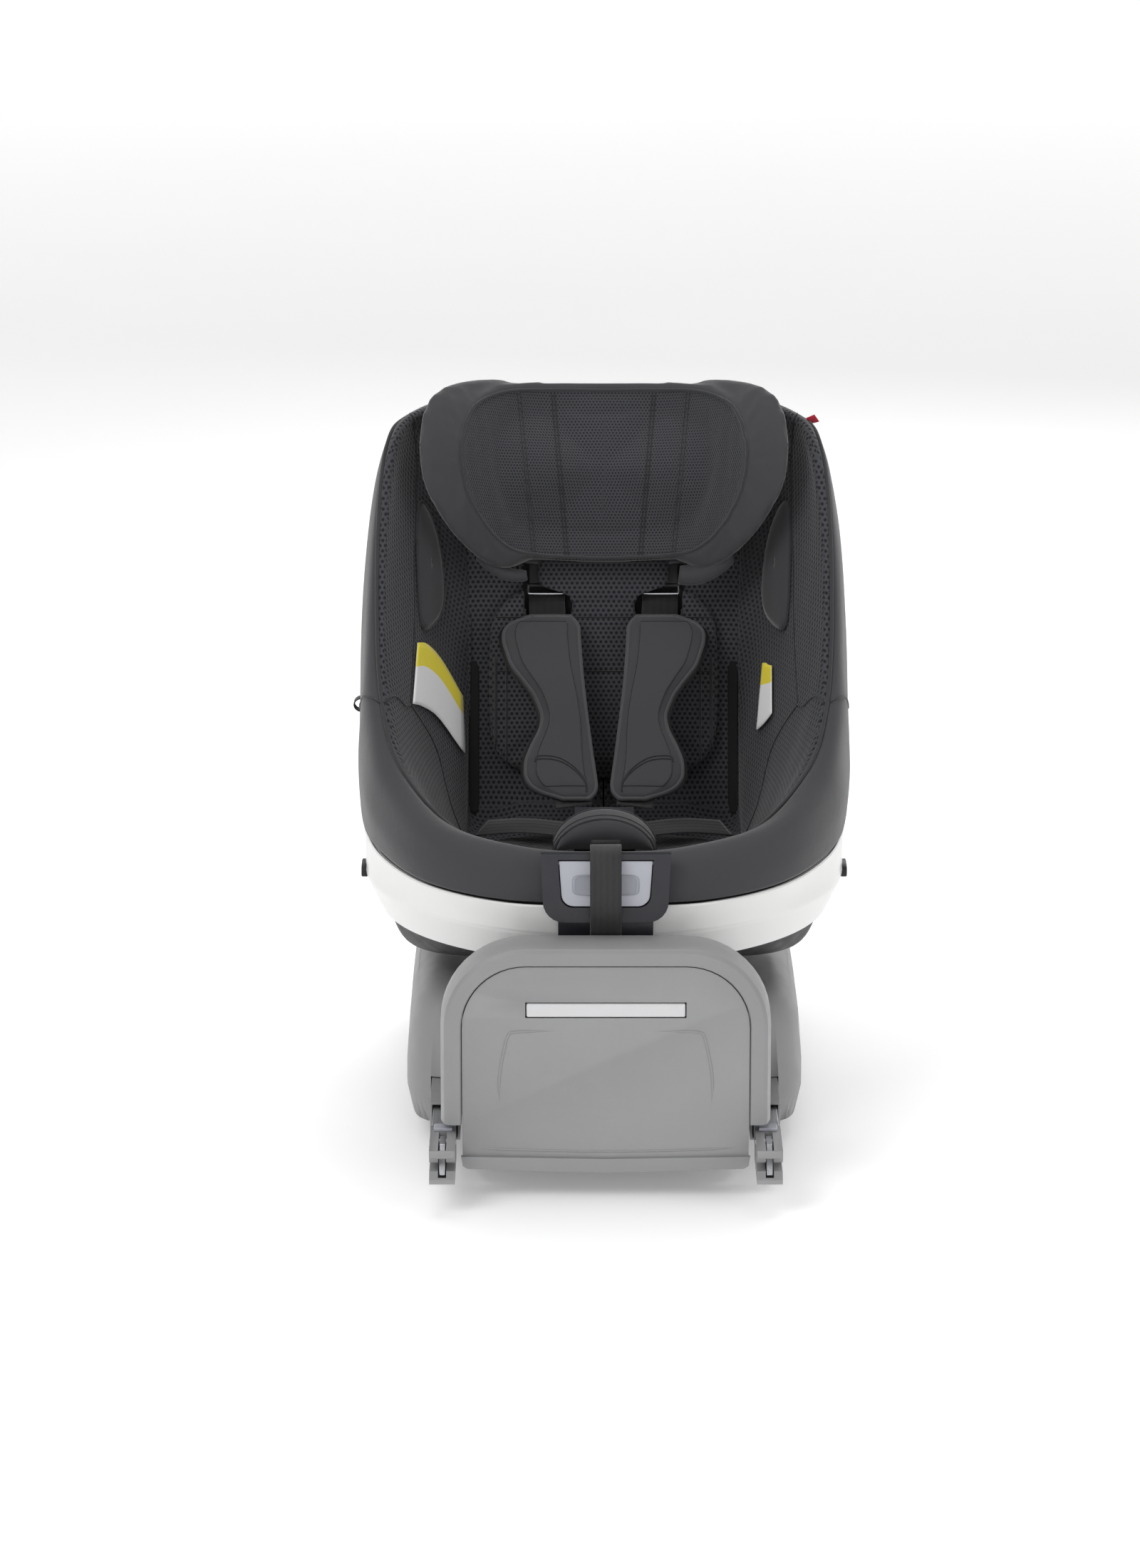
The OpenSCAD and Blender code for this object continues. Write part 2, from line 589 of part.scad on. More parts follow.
// The bezel and its grip lean back with the seat's front
grip_lean = 3;
grip_base = [0, -245, 236];
module on_front() translate(grip_base) rotate([-grip_lean, 0, 0]) children();
module grip_pins(r, reach) translate([-reach, 51.5, -4]) rotate([0, 90, 0]) cylinder(r = r, h = 2 * reach, $fn = 32);

function bezel_outline(top_w, low_w, h, r) = concat(
    [[top_w, h], [-top_w, h]],
    [for (i = [0:6]) let (a = 180 + 15 * i) [-low_w + r + r * cos(a), r + r * sin(a)]],
    [for (i = [0:6]) let (a = 270 + 15 * i) [low_w - r + r * cos(a), r + r * sin(a)]]
);

module grip_bezel() color(dark) on_front() rotate([90, 0, 0]) difference() {
    translate([0, 0, -9]) linear_extrude(9) polygon(bezel_outline(56, 54, 60, 18));
    translate([0, 13, -7]) linear_extrude(20) polygon(bezel_outline(41, 39, 42, 11));
    grip_pins(1.5, 44);
}

module recline_grip() color(light_grey) on_front() rotate([90, 0, 0]) {
    translate([0, 14, -6.5]) linear_extrude(5) polygon(bezel_outline(40, 38, 39.5, 10.5));
    grip_pins(1.44, 43.5);
}

module adjuster_button() color(dark) translate([0, -213, 296.5]) rotate([-14, 0, 0])
    linear_extrude(4) polygon([for (i = [0:31]) let (a = 360 * i / 32)
        [13 * signed_power(cos(a), 0.6), 5 * signed_power(sin(a), 0.6)]]);

module adjust_strap() color(rubber_black) ribbon(concat(
    bezier([[0, -221, 298], [0, -236, 304], [0, -249, 301], [0, -251, 284]], 6),
    bezier([[0, -252.5, 274], [0, -256, 256], [0, -255, 242], [0, -242.8, 226]], 8),
    [[0, -241.5, 212], [0, -240.5, 198]]), 27, 1.8);

// ---------- seat body: soft parts, plain ----------

module seat_cover() color(fabric_dark) wall(layer(0, edge_row, last_row), layer(skin_t, edge_row, last_row));

// Points on the seat plane and on the backrest plane
function on_seat(x, y, out) = [x, y, 222.5 + 0.048 * (90 - y) + out];
function on_back(x, up, out) =
    [x, 94 + up * sin(back_tilt) - out * cos(back_tilt), 235 + up * cos(back_tilt) + out * sin(back_tilt)];

module seat_cushion() color(mesh_dark)
    skin([for (r = [[0.95, 1], [1, 4], [1, 11], [0.94, 14]])
        [for (p = oval(109, 98, 96, 3.4, 0, 40)) on_seat(p.x * r[0], p.y * r[0] - 55, r[1])]]);

slot_x = [31, 71];   // the harness slots, each side of the middle
module back_cushion() color(mesh_dark) difference() {
    skin([for (r = [[0.95, 1.5], [1, 4], [1, 10], [0.95, 13]])
        [for (p = oval(108, 92, 92, 4, 0, 40)) on_back(p.x * r[0], 126 + p.y * r[0], r[1])]]);
    both_sides() translate(on_back(slot_x[0], 184, -5)) rotate([-back_tilt, 0, 0])
        translate([0, -40, 0]) cube([slot_x[1] - slot_x[0], 60, 60]);
}

strap_top = on_back(52, 201, 4);
strap_low = [27, -2, 273];
strap_bend = [on_back(51, 160, 52), on_back(38, 60, 66)];
module shoulder_strap() color(rubber_black)
    ribbon(bezier([strap_top, strap_bend[0], strap_bend[1], strap_low], 12), 36, 2);
module shoulder_strap_right() shoulder_strap();
module shoulder_strap_left() mirror([1, 0, 0]) shoulder_strap();

// Padded sleeve over the strap: an S-shaped wing on its outer side
// Inner and outer edge of a pad, by distance down the strap
pad_inner = [[0, -19], [8, -27], [62, -25], [114, -24], [158, -23], [169, -19], [172, -12]];
pad_outer = [[0, 12], [6, 32], [16, 41], [28, 42], [50, 37], [64, 27], [76, 19], [94, 14], [106, 18], [120, 28],
             [134, 36], [150, 39], [162, 33], [170, 16], [172, 4]];
strap_fine = bezier([strap_top, strap_bend[0], strap_bend[1], strap_low], 44);
function along(s) = let (i = min(43.9, max(0, 6 + s * 0.214)), k = floor(i))
    strap_fine[k] + (strap_fine[k + 1] - strap_fine[k]) * (i - k);
function on_strap(s, x, lift) = let (d = unit(along(s + 4) - along(s)), n = unit(cross(d, [1, 0, 0])))
    along(s) + [x, 0, 0] + n * lift * (n.y < 0 ? 1 : -1);
function pad_grid(edge_lift, middle_lift) = [for (i = [0:22]) let (s = 172 * i / 22) [for (j = [0:6])
    let (t = j / 6, a = lookup(s, pad_inner), b = lookup(s, pad_outer))
    on_strap(s, a + (b - a) * t, edge_lift + (middle_lift - edge_lift) * min(1, 2.4 * sin(180 * t)))]];
module shoulder_pad() color(fabric_dark) wall(pad_grid(6.5, 10.5), pad_grid(3.5, 3), false);
module shoulder_pad_right() shoulder_pad();
module shoulder_pad_left() mirror([1, 0, 0]) shoulder_pad();

module lap_straps() color(rubber_black) both_sides()
    skin(reverse([for (i = [0:8]) let (t = i / 8, x = 110 - 76 * t, y = 14 - 40 * t, z = 243 + 20 * t + 7 * sin(180 * t))
        [[x, y - 14, z], [x, y + 14, z + 9 * (1 - t)], [x, y + 14, z + 1.8 + 9 * (1 - t)], [x, y - 14, z + 1.8]]]));

module on_buckle() translate([0, -44, 251.5]) rotate([12, 0, 0]) children();
module buckle() color(dark) on_buckle() difference() {
    box([-27, 27], [-30, 30], [0, 20]);
    box([-13, 13], [-24, 2], [12, 30]);
    box([-24, 24], [14, 31], [8, 13]);
}
module buckle_button() color([0.7, 0.08, 0.08]) on_buckle() box([-12.5, 12.5], [-23.5, 1.5], [15, 20.5]);
module buckle_tongues() color(steel) on_buckle() both_sides() box([1, 23.5], [15, 38], [9, 12]);

// An arch of padding over the buckle
function arch(half_w, high, y) = [for (i = [0:12]) let (a = 15 * i) [half_w * cos(a), y, 252 + high * sin(a)]];
module crotch_pad() color(fabric_dark) {
    rows = [[46, 33, -96, 6], [47, 36, -84, 7], [47, 37, -66, 7], [46, 34, -54, 6]];
    wall(reverse([for (r = rows) arch(r[0], r[1], r[2])]),
         reverse([for (r = rows) arch(r[0] - r[3], r[1] - r[3], r[2])]), false);
}

// ---------- headrest ----------

head_low = [0, 165, 448];   // bottom centre of the headrest on the backrest plane
function on_head(p) = head_low + [p.x, p.y * sin(back_tilt) - p.z * cos(back_tilt),
                                  p.y * cos(back_tilt) + p.z * sin(back_tilt)];
// Half loops from bottom centre to top centre: sideways, up the back, out from the back
head_back = [[0, 6, 9], [50, 6, 9], [84, 10, 10], [104, 22, 14], [119, 48, 22], [126, 84, 30], [126, 118, 32],
             [119, 146, 28], [98, 162, 18], [55, 166, 10], [0, 166, 9]];
head_outer = [[0, -6, 20], [56, -4, 24], [98, 4, 34], [122, 22, 54], [142, 52, 72], [152, 86, 82], [152, 120, 82],
              [144, 154, 70], [112, 174, 42], [56, 176, 22], [0, 174, 20]];
head_rim = [[0, -7, 32], [58, -6, 38], [100, 0, 58], [128, 20, 84], [150, 52, 104], [161, 86, 114], [161, 122, 112],
            [150, 156, 94], [112, 177, 58], [54, 177, 34], [0, 174, 32]];
head_seam = [[0, 2, 38], [50, 4, 42], [84, 14, 56], [108, 34, 78], [124, 60, 94], [131, 88, 101], [130, 118, 98],
             [120, 146, 82], [92, 162, 56], [50, 166, 38], [0, 166, 36]];
head_mesh = [[0, 30, 33], [40, 32, 34], [62, 38, 38], [80, 50, 48], [92, 68, 58], [97, 88, 62], [96, 110, 60],
             [86, 130, 52], [64, 142, 40], [38, 146, 34], [0, 146, 32]];

module headrest_pad() color(fabric_dark) {
    rows = smooth_rows([for (h = [head_back, head_outer, head_rim, head_seam, head_mesh])
        closed_loop([for (p = h) on_head(p)])], 2);
    skin(rows);
}

module headrest_shell() color(dark) {
    rows = [for (r = [[0.9, 0], [0.97, 2], [0.97, 5], [0.94, 7]])
        closed_loop([for (p = head_back) on_head([p.x * r[0], 88 + (p.y - 88) * r[0], r[1]])])];
    skin(rows);
}

module headrest_lever() color(light_grey)
    skin([for (z = [1, 5, 9]) [for (c = [[-30, 168], [30, 168], [30, 174], [-30, 174]])
        on_head([c[0], c[1], z])]]);

// Steel loops under the headrest that carry the shoulder straps, on brackets behind its pad
module harness_slider() color(steel) both_sides() {
    translate(on_head([34, -9, -2.5])) rotate([90 - back_tilt, 0, 0]) linear_extrude(2) square([34, 26]);
    translate(on_head([32, -9, -1.9])) rotate([0, 90, 0]) cylinder(r = 2.3, h = 38, $fn = 32);
}

// ---------- what is drawn ----------

base_lower_shell();
base_upper_shell();
rebound_frame();
rebound_panel();
rebound_back_plate();
anchor_adjust_handle();
rubber_feet();
connector_guides();
anchor_arm_left();
anchor_arm_right();
anchor_crossbar();
connector_left();
connector_right();
latch_hook_left();
latch_hook_right();
latch_pins();
connector_button_left();
connector_button_right();
leg_hinge_pin();
leg_upper_tube();
leg_lower_tube();
leg_foot();
leg_lock_button();
pivot_post();
bearing_race();
bearing_balls();
ball_cage();
turntable_plate();
recline_cradle();
recline_rails();
shell_bowl();
shell_band();
back_cover();
seat_shell();
foam_liner();
front_skirt();
rotation_button_left();
rotation_button_right();
grip_bezel();
recline_grip();
adjuster_button();
adjust_strap();
seat_cover();
seat_cushion();
back_cushion();
shoulder_strap_left();
shoulder_strap_right();
shoulder_pad_left();
shoulder_pad_right();
lap_straps();
buckle();
buckle_button();
buckle_tongues();
crotch_pad();
headrest_shell();
headrest_pad();
headrest_lever();
base_screws();
headrest_rail();
harness_slider();
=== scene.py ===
"""Looks of a rotating child car seat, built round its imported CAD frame. Metres, +Z up, the seat faces -Y."""

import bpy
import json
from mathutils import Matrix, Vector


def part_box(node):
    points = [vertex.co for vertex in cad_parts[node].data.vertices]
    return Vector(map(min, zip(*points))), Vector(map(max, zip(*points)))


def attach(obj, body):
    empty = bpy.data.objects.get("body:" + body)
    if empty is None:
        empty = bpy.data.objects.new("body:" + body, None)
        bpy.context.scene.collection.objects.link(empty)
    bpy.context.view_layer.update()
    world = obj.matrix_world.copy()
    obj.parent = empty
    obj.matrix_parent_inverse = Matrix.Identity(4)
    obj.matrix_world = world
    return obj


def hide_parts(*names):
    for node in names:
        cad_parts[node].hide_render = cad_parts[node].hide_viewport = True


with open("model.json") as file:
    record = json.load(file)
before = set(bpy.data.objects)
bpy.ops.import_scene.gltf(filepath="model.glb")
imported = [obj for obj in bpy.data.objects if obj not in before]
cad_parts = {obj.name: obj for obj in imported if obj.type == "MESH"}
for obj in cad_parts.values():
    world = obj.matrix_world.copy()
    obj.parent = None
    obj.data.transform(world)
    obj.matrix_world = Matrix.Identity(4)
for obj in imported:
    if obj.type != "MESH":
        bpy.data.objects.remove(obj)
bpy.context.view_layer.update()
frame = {"nodes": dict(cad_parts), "record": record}

import json
import math

import bmesh
import bpy
import numpy as np
from mathutils import Vector
from mathutils.bvhtree import BVHTree

MM = 0.001
BACK_TILT = math.radians(20)          # the backrest and the headrest's slide lean back this far
SIN, COS = math.sin(BACK_TILT), math.cos(BACK_TILT)
TURN = math.tau

# ---------- camera, lights and floor ----------


VIEW_CENTRE = Vector((-0.0307, 0, 0.2935))
VIEW_DISTANCE = 5
VIEW_RISE = math.radians(15)
VIEW_LENS = 127.8                     # mm, on a 36 mm sensor
SEAT_MIDDLE = (0, 0, 0.3)             # what the lamps aim at
LAMPS = (                             # name, place, size, watts
    ("key", (-1.7, -2.0, 2.6), (1.6, 1.6), 36),
    ("fill", (2.2, -1.8, 1.3), (1.6, 1.6), 13),
    ("top", (0, 0.5, 2.8), (2.0, 1.6), 20),
    ("front", (0.0, -3.2, 0.9), (1.4, 1.0), 8),
    ("rear", (0.6, 2.6, 1.7), (1.6, 1.4), 20))
WORLD_LIGHT = 0.42
FLOOR_REACH, WALL_START, WALL_BEND, WALL_TOP = 18, 10, 3, 16
FLOOR_DROP = 0.0005                   # keeps the floor just clear of the feet


def set_stage():
    """Camera at the front, 15 degrees up, with a plain white floor that curves up behind."""
    camera = bpy.data.objects.new("camera", bpy.data.cameras.new("camera"))
    camera.location = VIEW_CENTRE + VIEW_DISTANCE * Vector((0, -math.cos(VIEW_RISE), math.sin(VIEW_RISE)))
    camera.rotation_euler = (math.pi / 2 - VIEW_RISE, 0, 0)
    camera.data.sensor_width = 36
    camera.data.lens = VIEW_LENS
    camera.data.clip_end = 60
    bpy.context.scene.collection.objects.link(camera)
    bpy.context.scene.camera = camera

    for name, place, size, power in LAMPS:
        lamp = bpy.data.objects.new(name, bpy.data.lights.new(name, "AREA"))
        lamp.location = place
        lamp.rotation_euler = (Vector(place) - Vector(SEAT_MIDDLE)).to_track_quat("Z", "Y").to_euler()
        lamp.data.shape = "RECTANGLE"
        lamp.data.size, lamp.data.size_y = size
        lamp.data.energy = power
        bpy.context.scene.collection.objects.link(lamp)

    world = bpy.data.worlds.new("studio")
    world.use_nodes = True
    world.node_tree.nodes["Background"].inputs["Color"].default_value = (1, 1, 1, 1)
    world.node_tree.nodes["Background"].inputs["Strength"].default_value = WORLD_LIGHT
    bpy.context.scene.world = world
    bpy.context.scene.view_settings.view_transform = "Standard"

    bend = [(WALL_START + WALL_BEND * math.sin(a), WALL_BEND - WALL_BEND * math.cos(a))
            for a in np.linspace(0.1, math.pi / 2, 12)]
    profile = [(-FLOOR_REACH, 0), (WALL_START, 0)] + bend + [(WALL_START + WALL_BEND, WALL_TOP)]
    vertices = [(x, y, z - FLOOR_DROP) for y, z in profile for x in (-FLOOR_REACH, FLOOR_REACH)]
    faces = [(2 * i, 2 * i + 1, 2 * i + 3, 2 * i + 2) for i in range(len(profile) - 1)]
    mesh = bpy.data.meshes.new("studio_floor")
    mesh.from_pydata(vertices, [], faces)
    floor = bpy.data.objects.new("studio_floor", mesh)
    bpy.context.scene.collection.objects.link(floor)
    for polygon in mesh.polygons:
        polygon.use_smooth = True
    mesh.materials.append(plain_white())


# ---------- materials ----------


class Shader:
    """A material being built, with short calls for the node kinds used here."""

    def __init__(self, name, color, rough, metal=0.0, sheen=0.0, coat=0.0):
        self.material = bpy.data.materials.new(name)
        self.material.use_nodes = True
        self.material.diffuse_color = (*color, 1)
        self.tree = self.material.node_tree
        self.bsdf = self.tree.nodes["Principled BSDF"]
        for socket, value in (("Base Color", (*color, 1)), ("Roughness", rough), ("Metallic", metal),
                              ("Sheen Weight", sheen), ("Sheen Roughness", 0.4), ("Coat Weight", coat),
                              ("Coat Roughness", 0.15)):
            self.bsdf.inputs[socket].default_value = value

    def put(self, kind, **settings):
        node = self.tree.nodes.new(kind)
        for key, value in settings.items():
            setattr(node, key, value)
        return node

    def join(self, value, socket):
        if isinstance(value, bpy.types.NodeSocket):
            self.tree.links.new(value, socket)
        else:
            socket.default_value = value

    def math(self, operation, *values):
        node = self.put("ShaderNodeMath", operation=operation)
        for value, socket in zip(values, node.inputs):
            self.join(value, socket)
        return node.outputs[0]

    def place(self, kind="Object"):
        return self.put("ShaderNodeTexCoord").outputs[kind]

    def noise(self, scale, detail=3.0, vector=None):
        node = self.put("ShaderNodeTexNoise")
        self.join(self.place() if vector is None else vector, node.inputs["Vector"])
        node.inputs["Scale"].default_value = scale
        node.inputs["Detail"].default_value = detail
        return node.outputs["Fac"]

    def cells(self, scale):
        node = self.put("ShaderNodeTexVoronoi")
        self.join(self.place(), node.inputs["Vector"])
        node.inputs["Scale"].default_value = scale
        return node.outputs["Distance"]

    def spread(self, value, low, high, out_low, out_high):
        node = self.put("ShaderNodeMapRange")
        self.join(value, node.inputs["Value"])
        for socket, number in zip(("From Min", "From Max", "To Min", "To Max"), (low, high, out_low, out_high)):
            node.inputs[socket].default_value = number
        return node.outputs["Result"]

    def mix(self, factor, a, b):
        node = self.put("ShaderNodeMix", data_type="RGBA")
        self.join(factor, node.inputs[0])
        for value, socket in ((a, node.inputs[6]), (b, node.inputs[7])):
            self.join((*value, 1) if isinstance(value, tuple) else value, socket)
        return node.outputs[2]

    def paint(self, color=None, rough=None):
        if color is not None:
            self.join(color, self.bsdf.inputs["Base Color"])
        if rough is not None:
            self.join(rough, self.bsdf.inputs["Roughness"])

    def bump(self, height, distance, strength=1.0):
        node = self.put("ShaderNodeBump")
        self.join(height, node.inputs["Height"])
        node.inputs["Distance"].default_value = distance
        node.inputs["Strength"].default_value = strength
        self.join(node.outputs["Normal"], self.bsdf.inputs["Normal"])


def tinted(color, share):
    return tuple(min(1, c * share) for c in color)


def plain_white():
    s = Shader("backdrop_white", (0.93, 0.93, 0.93), 0.9)
    s.bsdf.inputs["Emission Color"].default_value = (1, 1, 1, 1)
    reach = s.put("ShaderNodeVectorMath", operation="LENGTH")
    s.join(s.place(), reach.inputs[0])
    s.join(s.spread(reach.outputs["Value"], 2.5, 8, 0.2, 0.5), s.bsdf.inputs["Emission Strength"])
    s.paint(color=s.mix(s.noise(2), (0.92, 0.92, 0.92), (0.95, 0.95, 0.95)))
    return s.material


def plastic(name, color, rough, grain=0.00006, coat=0.0, worn=1.0):
    """Moulded plastic: fine spark-eroded grain, faint mottling, and edges rubbed a little lighter."""
    s = Shader(name, color, rough, coat=coat)
    mottled = s.mix(s.noise(14), tinted(color, 1 - 0.06 * worn), tinted(color, 1 + 0.05 * worn))
    edge = s.spread(s.put("ShaderNodeNewGeometry").outputs["Pointiness"], 0.52, 0.6, 0, 0.35)
    s.paint(color=s.mix(edge, mottled, tinted(color, 1 + 0.35 * worn)),
            rough=s.spread(s.noise(60), 0.35, 0.65, rough * (1 - 0.1 * worn), min(1, rough * (1 + 0.12 * worn))))
    s.bump(s.math("ADD", s.cells(1500), s.math("MULTIPLY", s.noise(700), 0.6)), grain)
    return s.material


def metal(name, color, rough):
    s = Shader(name, color, rough, metal=1.0)
    stretch = s.put("ShaderNodeMapping")
    s.join(s.place(), stretch.inputs["Vector"])
    stretch.inputs["Scale"].default_value = (900, 30, 900)
    brushed = s.noise(1, 4, stretch.outputs[0])
    s.paint(color=s.mix(brushed, tinted(color, 0.85), tinted(color, 1.1)),
            rough=s.spread(brushed, 0.3, 0.7, rough * 0.8, rough * 1.3))
    s.bump(brushed, 0.00002)
    return s.material


def rubber(name, color):
    s = Shader(name, color, 0.85)
    s.paint(color=s.mix(s.noise(40), tinted(color, 0.8), tinted(color, 1.25)))
    s.bump(s.noise(900), 0.0001)
    return s.material


def hex_holes(s, pitch):
    """0 on the threads and 1 in the holes of a staggered net, over UVs in metres."""
    split = s.put("ShaderNodeSeparateXYZ")
    s.join(s.place("UV"), split.inputs[0])
    tall = 1.732
    nearest = None
    for shift in (0.0, 0.5):
        squares = []
        for axis, period in ((0, pitch), (1, pitch * tall)):
            along = s.math("ADD", s.math("DIVIDE", split.outputs[axis], period), shift)
            offset = s.math("SUBTRACT", s.math("FRACT", along), 0.5)
            stretched = s.math("MULTIPLY", offset, tall if axis else 1.0)
            squares.append(s.math("MULTIPLY", stretched, stretched))
        distance = s.math("SQRT", s.math("ADD", *squares))
        nearest = distance if nearest is None else s.math("MINIMUM", nearest, distance)
    return s.spread(nearest, 0.2, 0.36, 1, 0)


def mesh_fabric(name, thread, hole, pitch):
    """Spacer mesh: a knitted net of round holes over a darker ground, with soft fuzz."""
    s = Shader(name, thread, 0.88, sheen=0.25)
    holes = hex_holes(s, pitch)
    worn = s.mix(s.noise(9), tinted(thread, 0.82), tinted(thread, 1.15))
    s.paint(color=s.mix(holes, worn, hole), rough=s.spread(holes, 0, 1, 0.8, 1.0))
    s.bump(s.math("SUBTRACT", s.math("MULTIPLY", s.noise(2500), 0.25), holes), 0.0006, 0.8)
    return s.material


def smooth_fabric(name, color):
    """Close knit: a fine melange of threads, soft sheen, and broad lighter wear."""
    s = Shader(name, color, 0.86, sheen=0.35)
    threads = s.noise(2600, 2)
    broad = s.mix(s.noise(7, 4), tinted(color, 0.86), tinted(color, 1.12))
    s.paint(color=s.mix(s.spread(threads, 0.35, 0.65, 0, 0.45), broad, tinted(color, 1.3)),
            rough=s.spread(threads, 0.3, 0.7, 0.78, 0.95))
    s.bump(s.math("ADD", threads, s.math("MULTIPLY", s.noise(120, 3), 1.2)), 0.00016)
    return s.material


def webbing(name, color):
    """Seat belt webbing: a fine twill across, and ribs along both edges. UV.x runs from 0 to 1 across."""
    s = Shader(name, color, 0.6, sheen=0.3)
    split = s.put("ShaderNodeSeparateXYZ")
    s.join(s.place("UV"), split.inputs[0])
    across, along = split.outputs[0], split.outputs[1]
    twill = s.math("SINE", s.math("ADD", s.math("MULTIPLY", across, 90), s.math("MULTIPLY", along, 2600)))
    ribs = s.math("SINE", s.math("MULTIPLY", across, 5 * TURN))
    height = s.math("ADD", s.math("MULTIPLY", ribs, 0.5), s.math("MULTIPLY", twill, 0.35))
    s.paint(color=s.mix(s.spread(height, -0.8, 0.8, 0, 1), tinted(color, 0.75), tinted(color, 1.3)))
    s.bump(height, 0.00016)
    return s.material


MESH = mesh_fabric("mesh_fabric_coarse", (0.042, 0.043, 0.05), (0.006, 0.006, 0.008), 0.0048)
MESH_FINE = mesh_fabric("mesh_fabric_fine", (0.039, 0.04, 0.046), (0.011, 0.011, 0.014), 0.0031)
CLOTH = smooth_fabric("smooth_fabric", (0.04, 0.04, 0.044))
CLOTH_DARK = smooth_fabric("smooth_fabric_dark", (0.036, 0.036, 0.04))
BINDING = smooth_fabric("fabric_binding", (0.028, 0.028, 0.031))
# Lighter than the other binding: partly its own lighter tone, partly a painted highlight along the pads' rounded
# edge
LIT_PAD_BINDING = smooth_fabric("pad_binding_painted_highlight", (0.058, 0.058, 0.062))
THREAD = smooth_fabric("stitch_thread", (0.014, 0.014, 0.016))
WEB = webbing("harness_webbing", (0.013, 0.013, 0.014))
GREY = plastic("base_grey_plastic", (0.27, 0.27, 0.275), 0.42)
GREY_SOFT = plastic("base_grey_plastic_fine", (0.29, 0.29, 0.295), 0.5, 0.00004)
DARK = plastic("dark_plastic", (0.015, 0.0155, 0.021), 0.42)
BLACK = plastic("black_plastic", (0.008, 0.008, 0.009), 0.55)
# Near-black painted shadow, laid on sheets in gaps that hold only shade
GAP_SHADOW = rubber("gap_shadow_felt", (0.003, 0.003, 0.003))
LIGHT = plastic("light_grey_plastic", (0.4, 0.41, 0.46), 0.32, 0.00003, coat=0.2)
PALE = plastic("pale_handle_plastic", (0.62, 0.62, 0.63), 0.35, 0.00003, coat=0.2)
WHITE = plastic("white_plastic", (0.8, 0.8, 0.79), 0.3, 0.00001, coat=0.3, worn=0.1)
# The light grey plastic painted darker: painted shade inside the grip's finger recess
RECESS_SHADE_GREY = plastic("light_grey_plastic_recess", (0.3, 0.31, 0.35), 0.4, 0.00003)
RED = plastic("red_button_plastic", (0.5, 0.02, 0.02), 0.3, 0.00002, coat=0.4)
STEEL = metal("brushed_steel_parts", (0.55, 0.56, 0.58), 0.32)
RUBBER = rubber("black_rubber", (0.02, 0.02, 0.02))
LABEL_WHITE = smooth_fabric("label_white", (0.9, 0.9, 0.9))
LABEL_YELLOW = smooth_fabric("label_yellow", (0.9, 0.72, 0.03))
TAG_RED = smooth_fabric("tag_red", (0.4, 0.01, 0.03))

# ---------- mesh helpers ----------


def as_object(name, vertices, faces, materials, indices=None, uvs=None):
    """A smooth-shaded mesh object."""
    mesh = bpy.data.meshes.new(name)
    mesh.from_pydata([tuple(map(float, v)) for v in vertices], [], [tuple(f) for f in faces])
    for material in materials:
        mesh.materials.append(material)
    mesh.polygons.foreach_set("use_smooth", [True] * len(mesh.polygons))
    if indices is not None:
        mesh.polygons.foreach_set("material_index", indices)
    if uvs is not None:
        layer = mesh.uv_layers.new(name="UVMap")
        for loop in mesh.loops:
            layer.data[loop.index].uv = uvs[loop.vertex_index]
    mesh.validate()
    obj = bpy.data.objects.new(name, mesh)
    bpy.context.scene.collection.objects.link(obj)
    return obj


def settle(obj, body, *replaced, slot=None):
    """Hands a finished piece to its body and hides the CAD nodes it stands for; its material slot is not used."""
    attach(obj, body)
    if replaced:
        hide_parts(*replaced)
    return obj


def lengths_along(points):
    steps = np.linalg.norm(np.diff(points, axis=0), axis=1)
    return np.concatenate([[0], np.cumsum(steps)])


def grid_uvs(rows):
    """UVs in metres: lengths along the middle row and down the columns."""
    m, n = rows.shape[:2]
    u = lengths_along(rows[m // 2])
    v = np.mean([lengths_along(rows[:, j]) for j in range(0, n, max(1, n // 12))], axis=0)
    return np.array([(u[j], v[i]) for i in range(m) for j in range(n)])


def grid_faces(m, n, closed):
    across = n if closed else n - 1
    return [(i * n + j, i * n + (j + 1) % n, (i + 1) * n + (j + 1) % n, (i + 1) * n + j)
            for i in range(m - 1) for j in range(across)]


def normals_of(rows, closed):
    along = np.roll(rows, -1, 1) - np.roll(rows, 1, 1)
    if not closed:
        along = np.gradient(rows, axis=1)
    up = np.gradient(rows, axis=0)
    cross = np.cross(along, up)
    return cross / np.maximum(np.linalg.norm(cross, axis=2, keepdims=True), 1e-12)


def sheet_object(name, rows, thickness, materials, closed=True, zones=None, uvs=None):
    """A sheet through a grid, given a back face `thickness` behind the front and closed round its edges."""
    rows = np.asarray(rows)
    m, n = rows.shape[:2]
    back = rows - normals_of(rows, closed) * thickness
    front_faces = grid_faces(m, n, closed)
    count = m * n
    faces = front_faces + [tuple(count + i for i in reversed(f)) for f in front_faces]
    rim = [(i, (i + 1) % n) for i in range(n if closed else n - 1)]
    faces += [(b, a, count + a, count + b) for a, b in rim]
    last = (m - 1) * n
    faces += [(last + a, last + b, count + last + b, count + last + a) for a, b in rim]
    if not closed:
        for i in range(m - 1):
            a, b = i * n, (i + 1) * n
            faces.append((a, b, count + b, count + a))
            a, b = i * n + n - 1, (i + 1) * n + n - 1
            faces.append((b, a, count + a, count + b))
    uv = grid_uvs(rows) if uvs is None else uvs
    indices = None
    if zones is not None:
        indices = list(zones) + list(zones) + [0] * (len(faces) - 2 * len(front_faces))
    return as_object(name, np.concatenate([rows.reshape(-1, 3), back.reshape(-1, 3)]), faces, materials,
                     indices=indices, uvs=np.concatenate([uv, uv]))


def box_weave(obj):
    """UVs in metres that look along each face's main direction, so that a woven pattern keeps its size."""
    mesh = obj.data
    layer = mesh.uv_layers[0]
    for face in mesh.polygons:
        across, along = ((1, 2), (0, 2), (0, 1))[int(np.argmax(np.abs(face.normal)))]
        for loop in face.loop_indices:
            point = mesh.vertices[mesh.loops[loop].vertex_index].co
            layer.data[loop].uv = (point[across], point[along])


